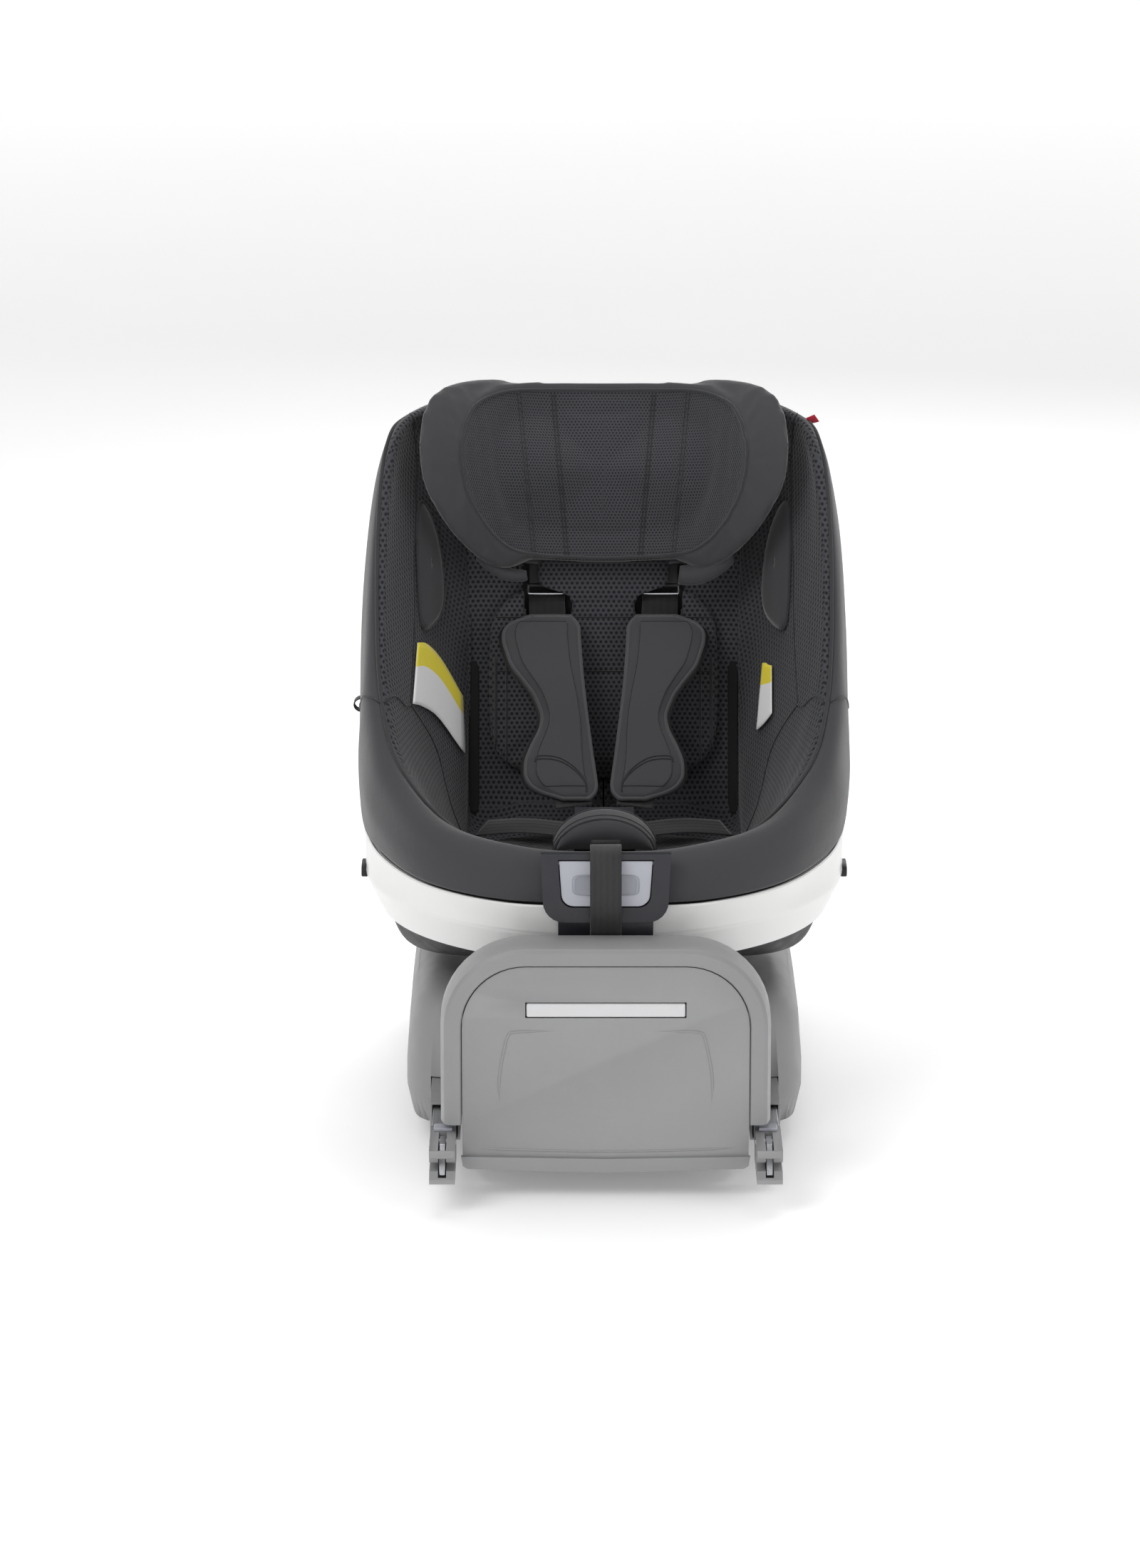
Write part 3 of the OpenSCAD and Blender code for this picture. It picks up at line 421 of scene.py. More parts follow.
def frames_along(points, closed):
    """Tangent, and two directions square to it that turn as little as possible."""
    points = np.asarray(points, float)
    if closed:
        tangents = np.roll(points, -1, 0) - np.roll(points, 1, 0)
    else:
        tangents = np.gradient(points, axis=0)
    tangents /= np.maximum(np.linalg.norm(tangents, axis=1, keepdims=True), 1e-12)
    side = np.cross(tangents[0], (0, 0, 1))
    if np.linalg.norm(side) < 0.1:
        side = np.cross(tangents[0], (0, 1, 0))
    sides = []
    for tangent in tangents:
        side = side - tangent * np.dot(side, tangent)
        side /= np.linalg.norm(side)
        sides.append(side.copy())
    sides = np.array(sides)
    return tangents, sides, np.cross(tangents, sides)


def tube(name, points, radius, material, closed=False, sides=8):
    """A round cord along points, such as a piping."""
    points = np.asarray(points, float)
    _, right, up = frames_along(points, closed)
    angles = [TURN * k / sides for k in range(sides)]
    radii = np.broadcast_to(radius, len(points))
    rings = np.array([[p + size * (math.cos(a) * r + math.sin(a) * u) for a in angles]
                      for p, r, u, size in zip(points, right, up, radii)])
    n, count = len(points), len(points) * sides
    spans = n if closed else n - 1
    faces = [(i * sides + k, ((i + 1) % n) * sides + k,
              ((i + 1) % n) * sides + (k + 1) % sides, i * sides + (k + 1) % sides)
             for i in range(spans) for k in range(sides)]
    if not closed:
        faces += [tuple(range(sides)), tuple(reversed(range(count - sides, count)))]
    along = lengths_along(points)
    uvs = [(TURN * radii[i] * k / sides, along[i]) for i in range(n) for k in range(sides)]
    obj = as_object(name, rings.reshape(-1, 3), faces, [material], uvs=uvs)
    mend_normals(obj)
    return obj


def mend_normals(obj):
    bm = bmesh.new()
    bm.from_mesh(obj.data)
    bmesh.ops.recalc_face_normals(bm, faces=bm.faces)
    bm.to_mesh(obj.data)
    bm.free()


def ribbon(name, path, width, thick, material, across=(1, 0, 0)):
    """Flat webbing along a path, with slightly rounded edges. UV.x runs across from 0 to 1."""
    path = np.asarray(path, float)
    tangents = np.gradient(path, axis=0)
    tangents /= np.linalg.norm(tangents, axis=1, keepdims=True)
    across = np.array(across, float)
    section = [(-0.5, 0.2), (-0.47, 0.5), (-0.3, 0.5), (0, 0.5), (0.3, 0.5), (0.47, 0.5), (0.5, 0.2),
               (0.5, -0.2), (0.47, -0.5), (0, -0.5), (-0.47, -0.5), (-0.5, -0.2)]
    vertices, uvs = [], []
    along = lengths_along(path)
    for i, (p, t) in enumerate(zip(path, tangents)):
        side = across - t * np.dot(across, t)
        side /= np.linalg.norm(side)
        up = np.cross(side, t)
        for x, y in section:
            vertices.append(p + side * x * width + up * y * thick)
            uvs.append((x + 0.5, along[i]))
    n, k = len(path), len(section)
    faces = [(i * k + j, i * k + (j + 1) % k, (i + 1) * k + (j + 1) % k, (i + 1) * k + j)
             for i in range(n - 1) for j in range(k)]
    faces += [tuple(range(k)), tuple(reversed(range((n - 1) * k, n * k)))]
    obj = as_object(name, vertices, faces, [material], uvs=uvs)
    mend_normals(obj)
    return obj


def joined(name, *objects):
    """Several meshes as one object."""
    bpy.ops.object.select_all(action="DESELECT")
    for obj in objects:
        obj.select_set(True)
    bpy.context.view_layer.objects.active = objects[0]
    bpy.ops.object.join()
    objects[0].name = name
    objects[0].data.name = name
    return objects[0]


def mirrored(obj, name):
    """A copy of a mesh on the other side of the middle plane."""
    mesh = obj.data.copy()
    mesh.name = name
    mesh.vertices.foreach_set("co", (coordinates(mesh) * (-1, 1, 1)).ravel())
    mesh.flip_normals()
    copy = bpy.data.objects.new(name, mesh)
    bpy.context.scene.collection.objects.link(copy)
    return copy


def apply_modifiers(obj):
    graph = bpy.context.evaluated_depsgraph_get()
    mesh = bpy.data.meshes.new_from_object(obj.evaluated_get(graph), depsgraph=graph)
    obj.modifiers.clear()
    obj.data = mesh
    mesh.name = obj.name


WELD = 2e-5                           # CAD points closer than this are one
FLAT_ANGLE = math.radians(0.4)        # CAD faces that meet at less than this are one


def polish(node, bevel, material, segments=2, angle=32, level=2.0):
    """A copy of a CAD node with welded faces and rounded edges, which then stands for it.

    Faces whose normal rises more than level are shaded flat, which keeps a broad deck free of streaks."""
    source = frame["nodes"][node]
    obj = bpy.data.objects.new(node + "_finish", source.data.copy())
    obj.data.materials.clear()
    obj.data.materials.append(material)
    bpy.context.scene.collection.objects.link(obj)
    bm = bmesh.new()
    bm.from_mesh(obj.data)
    bmesh.ops.remove_doubles(bm, verts=bm.verts, dist=WELD)
    bmesh.ops.dissolve_limit(bm, angle_limit=FLAT_ANGLE, verts=bm.verts, edges=bm.edges)
    bmesh.ops.recalc_face_normals(bm, faces=bm.faces)
    for face in bm.faces:
        face.material_index = 0
        face.smooth = face.normal.z < level
    bm.to_mesh(obj.data)
    bm.free()
    if bevel:
        edge = obj.modifiers.new("edge", "BEVEL")
        edge.width = bevel
        edge.segments = segments
        edge.limit_method = "ANGLE"
        edge.angle_limit = math.radians(angle)
    smooth = obj.modifiers.new("corners", "WEIGHTED_NORMAL")
    smooth.keep_sharp = True
    apply_modifiers(obj)
    obj.data.polygons.foreach_set("use_smooth", [face.normal.z < level for face in obj.data.polygons])
    obj.data.set_sharp_from_angle(angle=math.radians(angle))
    return settle(obj, body_of[node], node, slot=slot_of[node])


body_of = {node: body for body, nodes in frame["record"]["behaviour"]["bodies"].items() for node in nodes}
slot_of = {part["node"]: part["material_slot"] for part in frame["record"]["subparts"]}


def catmull(a, b, c, d, t):
    """The point at share t between b and c of a smooth curve through a, b, c and d."""
    return 0.5 * (2 * b + (c - a) * t + (2 * a - 5 * b + 4 * c - d) * t**2 + (3 * b - a - 3 * c + d) * t**3)


def closed_loop(half, steps):
    """A half outline, from front middle round the +X side to back middle, mirrored and smoothed, in metres."""
    control = [np.array(p, float) for p in half] + [np.array(p, float) * (-1, 1, 1) for p in half[-2:0:-1]]
    n = len(control)
    spans = [(control[i - 1], control[i], control[(i + 1) % n], control[(i + 2) % n]) for i in range(n)]
    return MM * np.array([catmull(*span, j / steps) for span in spans for j in range(steps)])


def surface_point(loops, i, v):
    """A point of the surface through a stack of closed loops, at column i and row v, both real numbers."""
    steps = len(loops[0]) / 20
    i = i % 20
    k = min(int(v), len(loops) - 2)
    near = [loops[max(k - 1, 0)], loops[k], loops[k + 1], loops[min(k + 2, len(loops) - 1)]]
    place = i * steps
    low, share = int(place) % len(loops[0]), place - int(place)
    picked = [row[low] * (1 - share) + row[(low + 1) % len(row)] * share for row in near]
    return catmull(*picked, v - k)


def smooth_curve(points, steps):
    """A smooth open curve through points."""
    points = [np.array(p, float) for p in points]
    ends = [2 * points[0] - points[1]] + points + [2 * points[-1] - points[-2]]
    curve = [catmull(*ends[i:i + 4], j / steps) for i in range(len(ends) - 3) for j in range(steps)]
    return np.array(curve + [points[-1]])


def bezier(p, n):
    """n + 1 points of the cubic curve with the four control points p."""
    p = [np.array(q, float) for q in p]
    return np.array([(1 - t)**3 * p[0] + 3 * (1 - t)**2 * t * p[1] + 3 * (1 - t) * t**2 * p[2] + t**3 * p[3]
                     for t in np.linspace(0, 1, n + 1)])


# ---------- soft pads: a remeshed copy of the CAD solid, blown up between its sewn lines ----------


def read_vectors(items, key):
    values = np.zeros(len(items) * 3)
    items.foreach_get(key, values)
    return values.reshape(-1, 3)


def coordinates(mesh):
    return read_vectors(mesh.vertices, "co")


def subdivide(obj):
    """One applied level of subdivision."""
    fine = obj.modifiers.new("fine", "SUBSURF")
    fine.levels = fine.render_levels = 1
    apply_modifiers(obj)


CLOTH_STEPS = 20
CLOTH_PRESSURE = 4.0


def inflate(obj, sewn, cap):
    """Cloth pressure pushes the skin out between the sewn vertices, by at most cap."""
    rest = coordinates(obj.data)
    group = obj.vertex_groups.new(name="sewn")
    group.add([int(i) for i in np.nonzero(sewn)[0]], 1.0, "REPLACE")
    cloth = obj.modifiers.new("cloth", "CLOTH")
    settings = cloth.settings
    settings.use_pressure = True
    settings.uniform_pressure_force = CLOTH_PRESSURE
    settings.effector_weights.gravity = 0
    settings.vertex_group_mass = "sewn"
    settings.quality = 4
    settings.mass = 0.3
    settings.tension_stiffness = 12
    settings.compression_stiffness = 12
    settings.bending_stiffness = 0.5
    cloth.collision_settings.use_collision = False
    scene = bpy.context.scene
    cloth.point_cache.frame_start, cloth.point_cache.frame_end = 1, CLOTH_STEPS
    for step in range(1, CLOTH_STEPS + 1):
        scene.frame_set(step)
    graph = bpy.context.evaluated_depsgraph_get()
    moved = coordinates(obj.evaluated_get(graph).to_mesh()) - rest
    obj.modifiers.clear()
    scene.frame_set(1)
    length = np.maximum(np.linalg.norm(moved, axis=1, keepdims=True), 1e-9)
    moved *= cap * np.tanh(length / cap) / length
    obj.data.vertices.foreach_set("co", (rest + moved).ravel())
    obj.data.update()


def soft_pad(name, node, voxel, materials, uv, sewn, cap, rounds, press, zone=None, shape=None):
    """A cushion made from a CAD node's solid: remeshed, smoothed, pressed in, reshaped and blown up.

    uv, sewn, zone and shape are rules of the points of its surface."""
    obj = bpy.data.objects.new(name, frame["nodes"][node].data.copy())
    obj.data.materials.clear()
    bpy.context.scene.collection.objects.link(obj)
    remesh = obj.modifiers.new("remesh", "REMESH")
    remesh.mode = "VOXEL"
    remesh.voxel_size = voxel
    apply_modifiers(obj)
    bm = bmesh.new()
    bm.from_mesh(obj.data)
    for _ in range(rounds):
        bmesh.ops.smooth_vert(bm, verts=bm.verts, factor=0.5, use_axis_x=True, use_axis_y=True, use_axis_z=True)
    bm.to_mesh(obj.data)
    bm.free()
    co = coordinates(obj.data) - read_vectors(obj.data.vertices, "normal") * press
    obj.data.vertices.foreach_set("co", co.ravel())
    if shape:
        obj.data.vertices.foreach_set("co", shape(coordinates(obj.data)).ravel())
    inflate(obj, sewn(coordinates(obj.data)), cap)
    subdivide(obj)
    for material in materials:
        obj.data.materials.append(material)
    flat = uv(coordinates(obj.data))
    layer = obj.data.uv_layers.new(name="UVMap") if not obj.data.uv_layers else obj.data.uv_layers[0]
    corner = np.zeros(len(obj.data.loops), int)
    obj.data.loops.foreach_get("vertex_index", corner)
    layer.data.foreach_set("uv", flat[corner].astype(float).ravel())
    obj.data.polygons.foreach_set("use_smooth", [True] * len(obj.data.polygons))
    if zone is not None:
        chosen = zone(read_vectors(obj.data.polygons, "center"))
        obj.data.polygons.foreach_set("material_index", chosen.astype(int))
    obj.data.update()
    return obj


def surface_of(obj):
    """A tree that finds the nearest point of a finished piece's surface."""
    bm = bmesh.new()
    bm.from_mesh(obj.data)
    tree = BVHTree.FromBMesh(bm)
    bm.free()
    return tree


def laid_on(tree, points, lift):
    """Points moved on to a surface and lifted off it."""
    placed = []
    for p in points:
        spot, normal, _, _ = tree.find_nearest(Vector(p))
        placed.append(np.array(spot) + np.array(normal) * lift)
    return np.array(placed)


def fall_on(tree, points, direction, lift):
    """Points dropped along a direction on to a surface, and lifted off it."""
    placed = []
    for p in points:
        spot, normal, _, _ = tree.ray_cast(Vector(p), Vector(direction))
        if spot is not None:
            placed.append(np.array(spot) + np.array(normal) * lift)
    return np.array(placed)


# ---------- the shell's outside ----------


def plan_half(half_x, front, back, z):
    """Half an ellipse, with its own depth at the front and at the back. z may be a rule of y."""
    points = []
    for i in range(11):
        a = math.radians(18 * i - 90)
        y = math.sin(a) * (front if math.sin(a) < 0 else back)
        points.append((half_x * math.cos(a), y, z(y) if callable(z) else z))
    return points


BOWL_RADIUS = 284


def bowl_rise(low, share):
    return lambda y: low + share * (BOWL_RADIUS - math.sqrt(BOWL_RADIUS**2 - y * y))


KEEL = plan_half(70, 46, 48, bowl_rise(146, 1))
FOOT = plan_half(138, 92, 95, bowl_rise(146, 1))
KNEE = plan_half(179, 150, 152, bowl_rise(154, 0.53))
BOWL_TOP = plan_half(195, 198, 187, 186)
BAND_LOW = plan_half(200, 203, 191, 186)
BAND_CREASE = plan_half(215, 226, 209, 218)
BAND_TOP = [
    (0, -230, 247), (84, -222, 246), (155, -166, 246), (199, -88, 251), (216, -8, 258), (213, 52, 262),
    (202, 100, 266), (181, 144, 269), (143, 182, 271), (78, 209, 272), (0, 217, 272)]
BACK_MID = [
    (0, -230.5, 249), (84.5, -222.5, 248), (156, -166, 248), (200, -87, 254), (217, -5, 262), (218, 72, 280),
    (215, 135, 325), (203, 186, 370), (165, 229, 402), (90, 256, 420), (0, 262, 426)]
COVER = [
    [(0, -231, 251), (85, -223, 250), (157, -166, 250), (201, -86, 257), (218, -2, 266), (219, 68, 303),
     (218, 118, 385), (212, 168, 474), (200, 211, 541), (140, 281, 572), (0, 301, 575)],
    [(0, -233, 264), (80, -225, 265), (160, -164, 271), (206, -80, 290), (220, -4, 313), (220, 42, 350),
     (219, 98, 440), (211, 148, 522), (195, 192, 568), (142, 271, 588), (0, 294, 593)],
    [(0, -226, 282), (76, -218, 284), (154, -163, 293), (198, -88, 320), (212, -29, 359), (214, 18, 412),
     (211, 84, 506), (201, 136, 569), (182, 178, 591), (128, 249, 598), (0, 270, 602)],
    [(0, -212, 290), (72, -204, 292), (144, -155, 300), (184, -86, 330), (198, -35, 370), (201, 10, 424),
     (199, 76, 518), (189, 130, 578), (170, 172, 598), (115, 226, 601), (0, 247, 602)],
    [(0, -196, 279), (66, -187, 281), (131, -140, 289), (169, -76, 316), (184, -24, 355), (188, 24, 409),
     (187, 92, 499), (178, 146, 555), (158, 186, 581), (108, 226, 588), (0, 240, 590)],
    [(0, -172, 246), (60, -163, 245), (108, -125, 242), (128, -65, 239), (131, -5, 239), (131, 55, 254),
     (130, 118, 330), (129, 160, 440), (130, 195, 536), (95, 219, 575), (0, 229, 581)],
    [(0, -160, 234), (54, -151, 233), (98, -116, 231), (117, -62, 229), (120, -8, 227), (120, 48, 226),
     (120, 105, 262), (120, 155, 400), (119, 198, 518), (88, 218, 571), (0, 220, 577)],
    [(0, -100, 231), (34, -96, 231), (60, -74, 230), (72, -40, 228), (74, -5, 226), (74, 40, 224),
     (74, 105, 262), (74, 146, 375), (72, 181, 470), (50, 199, 520), (0, 203, 530)]]
COLUMNS = 12                                   # points per control span round the shell
COVER_LOOPS = [closed_loop(half, COLUMNS) for half in COVER]
# Row at which the piping runs, by half-outline column from front middle to back middle
PIPING_ROW = ([0, 0.8, 1.5, 2.2, 3.0, 4.0, 5.0, 6.0, 7.0, 8.0, 10.0],
              [3.95, 4.0, 4.1, 3.85, 3.35, 3.1, 2.85, 2.65, 2.35, 2.2, 2.1])


def piping_row(i):
    half = i % 20
    return float(np.interp(min(half, 20 - half), *PIPING_ROW))


def cover_point(i, v):
    return surface_point(COVER_LOOPS, i, v)


def cover_normal(i, v):
    """Unit normal on the outer side of the cover."""
    along = cover_point(i + 0.05, v) - cover_point(i - 0.05, v)
    up = cover_point(i, min(v + 0.05, len(COVER) - 1)) - cover_point(i, max(v - 0.05, 0))
    cross = np.cross(along, up)
    return cross / np.linalg.norm(cross)


def on_cover(i, v, lift=0.0):
    return cover_point(i, v) + cover_normal(i, v) * lift


LEVEL_END = (5.2, 0.8)                        # outer end of the level seam


def seat_cover():
    """One soft skin from the shell's edge, over the padded rim and down the inner walls."""
    columns = np.arange(20 * COLUMNS) / COLUMNS
    outside, inside = 22, 50
    last = len(COVER) - 1

    def row_value(pipe, r):
        return pipe * r / outside if r <= outside else pipe + (last - pipe) * (r - outside) / inside

    rows = np.array([[cover_point(i, row_value(piping_row(i), r)) for i in columns]
                     for r in range(outside + inside + 1)])
    normals = normals_of(rows, True)
    reach = np.abs(np.arange(len(rows)) - outside)
    groove = np.exp(-(reach / 1.1)**2) * 1.6 * MM
    ripple = np.array([[math.sin(2.3 * i + 0.9 * r * 0.3) * math.sin(0.35 * r + i) for i in columns]
                       for r in range(len(rows))]) * 0.5 * MM
    fill = np.sin(np.pi * np.clip((np.arange(len(rows)) - outside) / 22, 0, 1))[:, None] * 2.2 * MM
    rows = rows + normals * (ripple + fill - groove[:, None])[..., None]
    closing = [rows[-1] * (share, 1, 1) + (0, 0, -0.0006) for share in (0.75, 0.5, 0.25, 0.01)]
    rows = np.concatenate([rows, closing])
    count = 20 * COLUMNS
    centre = (rows[-5:-1] + rows[-4:]) / 2
    zones = [0] * (outside * count) + [1] * (inside * count)
    # Closing rows above 0.36 m, in the gap behind the headrest's slider, get the near-black painted shadow
    zones += [2 if z > 0.36 else 1 for z in centre[..., 2].ravel()]
    cover = sheet_object("seat_cover_soft", rows, 3 * MM, [CLOTH, MESH, GAP_SHADOW], zones=zones)
    box_weave(cover)
    settle(cover, "seat", "seat_cover", "foam_liner", slot="smooth_fabric")
    tree = surface_of(cover)

    pipe = [on_cover(i, piping_row(i), 0.4 * MM) for i in np.arange(0, 20, 1 / COLUMNS)]
    settle(tube("cover_piping", pipe, 1.7 * MM, BINDING, closed=True), "seat", slot="smooth_fabric")

    stitches = []
    for side in (1, -1):
        wall = [(7.95, 2.6), (7.45, 3.9), (6.8, 4.2), (6.1, 4.27), (5.6, 4.3), (4.75, 4.25)]
        level = [LEVEL_END, (4.62, 1.6), (4.25, 2.35), (4.12, 3.4), (4.45, 4.07), (4.75, 4.25)]
        lap = [(4.75, 4.25), (4.92, 4.42), (5.03, 4.56), (5.02, 4.66),
               (4.88, 4.74), (4.72, 4.84), (4.68, 5.0), (4.66, 5.3)]
        for line in (wall, level, lap):
            curve = smooth_curve(line, 12)[:, :2]
            stitches.append(tube("stitch", laid_on(tree, [on_cover(side * i, v, 3 * MM) for i, v in curve], 0),
                                 1.0 * MM, THREAD, sides=6))
    settle(joined("cover_seams", *stitches), "seat", slot="smooth_fabric")

    # Near-black sheets down the corners between the back cushion and the side walls: painted shadow of those
    # creases
    for side, word in ((1, "right"), (-1, "left")):
        rows = []
        for up in np.linspace(4, 146, 48):
            width = 9 * min(1, (up - 2) / 12, (148 - up) / 12)**0.5
            rows.append(fall_on(tree, [on_back(side * (119 + width * (t - 0.5)), up, 70)
                                       for t in np.linspace(0, 1, 8)], (0, COS, -SIN), 0.8 * MM))
        gap = sheet_object("corner_gap_" + word, np.array(rows), 0.8 * MM, [GAP_SHADOW], closed=False)
        mend_normals(gap)
        settle(gap, "seat", slot="smooth_fabric")


def cover_patch(name, top, low, materials, lift, split):
    """A label on the inner wall between two curves of (column, row) points, with a band over split of it."""
    steps = 12
    upper, lower = (smooth_curve(line, 4)[:, :2] for line in (top, low))
    rows = np.array([[on_cover(*(a + (b - a) * t), lift) for a, b in zip(upper, lower)]
                     for t in np.linspace(0, 1, steps + 1)])
    zones = [1 if i < split * steps else 0 for i in range(steps) for _ in range(rows.shape[1] - 1)]
    patch = sheet_object(name, rows, 0.6 * MM, materials, closed=False, zones=zones)
    mend_normals(patch)
    return patch


def wall_pad(name, outline, centre, side):
    """A pad of smooth fabric on the inner wall, crowned in the middle and piped round."""
    around = np.array([catmull(*[np.array(outline[(k + d) % len(outline)]) for d in (-1, 0, 1, 2)], j / 7)
                       for k in range(len(outline)) for j in range(7)])
    rows = []
    for r in np.linspace(0.04, 1, 12):
        spots = centre + (around - centre) * r
        rows.append([on_cover(side * i, v, (2.6 + 3.5 * (1 - r**4)) * MM) for i, v in spots])
    pad = sheet_object(name, np.array(rows), 1.5 * MM, [CLOTH])
    mend_normals(pad)
    edge = tube(name + "_edge", laid_on(surface_of(pad), rows[-1], 0.3 * MM), 1.0 * MM, BINDING, closed=True)
    return joined(name, pad, edge)


def cover_details():
    outline = [(6.78, 4.24), (6.92, 4.37), (6.82, 4.54), (6.48, 4.63), (6.08, 4.54), (5.75, 4.38), (6.2, 4.29)]
    for side, word in ((1, "right"), (-1, "left")):
        pad = wall_pad("wing_patch_" + word, outline, np.array((6.45, 4.43)), side)
        settle(pad, "seat", slot="smooth_fabric")
    left = ([(-5.5, 4.32), (-5.7, 4.45), (-5.9, 4.65), (-6.08, 4.95)],
            [(-4.78, 4.26), (-5.05, 4.4), (-5.35, 4.62), (-5.65, 5.02)])
    right = ([(5.92, 4.66), (5.85, 4.62), (5.78, 4.59), (5.7, 4.55)],
             [(5.5, 4.76), (5.43, 4.7), (5.36, 4.63), (5.3, 4.56)])
    for (top, low), word in ((left, "left"), (right, "right")):
        label = cover_patch("blank_label_" + word, top, low, [LABEL_WHITE, LABEL_YELLOW], 3.0 * MM, split=0.26)
        settle(label, "seat", slot="smooth_fabric")
    tag_spot = on_cover(7.75, 2.2, 1 * MM)
    out = cover_normal(7.75, 2.2)
    tag = ribbon("side_tag", [tag_spot - out * 3 * MM + np.array((0, 0, 3)) * MM, tag_spot + out * 5 * MM,
                              tag_spot + out * 8 * MM + np.array((0, 0, -6)) * MM], 9 * MM, 1.6 * MM, TAG_RED,
                 across=(0.2, -0.5, 0.8))
    settle(tag, "seat", slot="smooth_fabric")
    loop_spot, loop_out = on_cover(-LEVEL_END[0], LEVEL_END[1]), cover_normal(-LEVEL_END[0], LEVEL_END[1])
    curl = [loop_spot + loop_out * (7 * math.sin(a) - 1) * MM + np.array((0, 0, 6 * math.cos(a))) * MM
            for a in np.linspace(0, math.pi, 9)]
    settle(ribbon("seam_loop", curl, 12 * MM, 1 * MM, WEB, across=(0, 1, 0)), "seat", slot="webbing")


SHELL_WALL = 4 * MM


def cut_button_openings(ring):
    """Openings in the ring for the two rotation buttons, with room for them to move in."""
    for word in ("left", "right"):
        low, high = (np.array(corner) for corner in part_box("rotation_button_" + word))
        bpy.ops.mesh.primitive_cube_add(size=1, location=(low + high) / 2)
        cutter = bpy.context.object
        cutter.scale = high - low + np.array((30, 2.4, 2.4)) * MM
        cut = ring.modifiers.new("cut", "BOOLEAN")
        cut.object = cutter
        cut.solver = "EXACT"
        apply_modifiers(ring)
        bpy.data.objects.remove(cutter)


def shell_outside():
    """White ring, dark bowl below it and the smooth cover at the back."""
    low, crease, top = (closed_loop(h, COLUMNS) for h in (BAND_LOW, BAND_CREASE, BAND_TOP))
    shares = [0.0, 0.04, 0.3, 0.6, 0.9, 0.965]
    rows = [low + (crease - low) * t for t in shares]
    rows += [crease + (top - crease) * t for t in (0.0, 0.035, 0.1, 0.35, 0.65, 0.96, 1.0)]
    rows = np.array(rows)
    normals = normals_of(rows, True)
    sunk = np.zeros(len(rows))
    sunk[0] = sunk[-1] = 1.2 * MM
    sunk[6] = 0.5 * MM
    rows = rows - normals * sunk[:, None, None]
    ring = sheet_object("shell_ring", rows, SHELL_WALL, [WHITE])
    cut_button_openings(ring)
    ring.data.set_sharp_from_angle(angle=math.radians(38))
    settle(ring, "seat", "shell_band", slot="white_plastic")

    stack = [closed_loop(h, COLUMNS) for h in (KEEL, FOOT, KNEE, BOWL_TOP)]
    rows = np.array([[surface_point(stack, i, v) for i in np.arange(20 * COLUMNS) / COLUMNS]
                     for v in np.linspace(0, 3, 25)])
    middle = rows[0].mean(axis=0)
    cap = [middle + (rows[0] - middle) * t for t in (0.02, 0.3, 0.65)]
    bowl = sheet_object("lower_bowl", np.array(cap + list(rows)), SHELL_WALL, [BLACK])
    settle(bowl, "seat", "shell_bowl", slot="dark_plastic")

    stack = [closed_loop(h, COLUMNS) for h in (BAND_TOP, BACK_MID, COVER[0])]
    flank = 16 / 3
    columns = np.linspace(flank, 20 - flank, 130)
    levels = np.arange(40)
    rows = np.array([[surface_point(stack, i, v) for i in columns] for v in np.linspace(0.08, 1.95, len(levels))])
    normals = normals_of(rows, False)
    sunk = np.zeros(rows.shape[:2])
    for line in (10, 27):
        sunk += np.exp(-((levels[:, None] - line) / 0.7)**2) * 1.4 * MM
    middle = np.abs(columns - 10)
    window = (np.clip((1.6 - middle) / 0.12, 0, 1)[None, :]
              * np.clip(np.minimum(levels - 12, 25 - levels) + 0.5, 0, 1)[:, None])
    rows = rows - normals * (sunk + window * 2.5 * MM)[..., None]
    shell = sheet_object("rear_shell", rows, SHELL_WALL, [DARK], closed=False)
    shell.data.set_sharp_from_angle(angle=math.radians(50))
    settle(shell, "seat", "back_cover", slot="dark_plastic")
    polish("seat_shell", 0, BLACK)


# ---------- pads and cushions ----------


def on_back(x, up, out):
    """A point of the backrest plane, in metres, from millimetres across, up and out."""
    return MM * np.array((x, 94 + up * SIN - out * COS, 235 + up * COS + out * SIN))


def back_frame(co):
    """Across, up and out of the backrest plane, in metres."""
    y, z = co[:, 1] - 0.094, co[:, 2] - 0.235
    return co[:, 0], y * SIN + z * COS, -y * COS + z * SIN


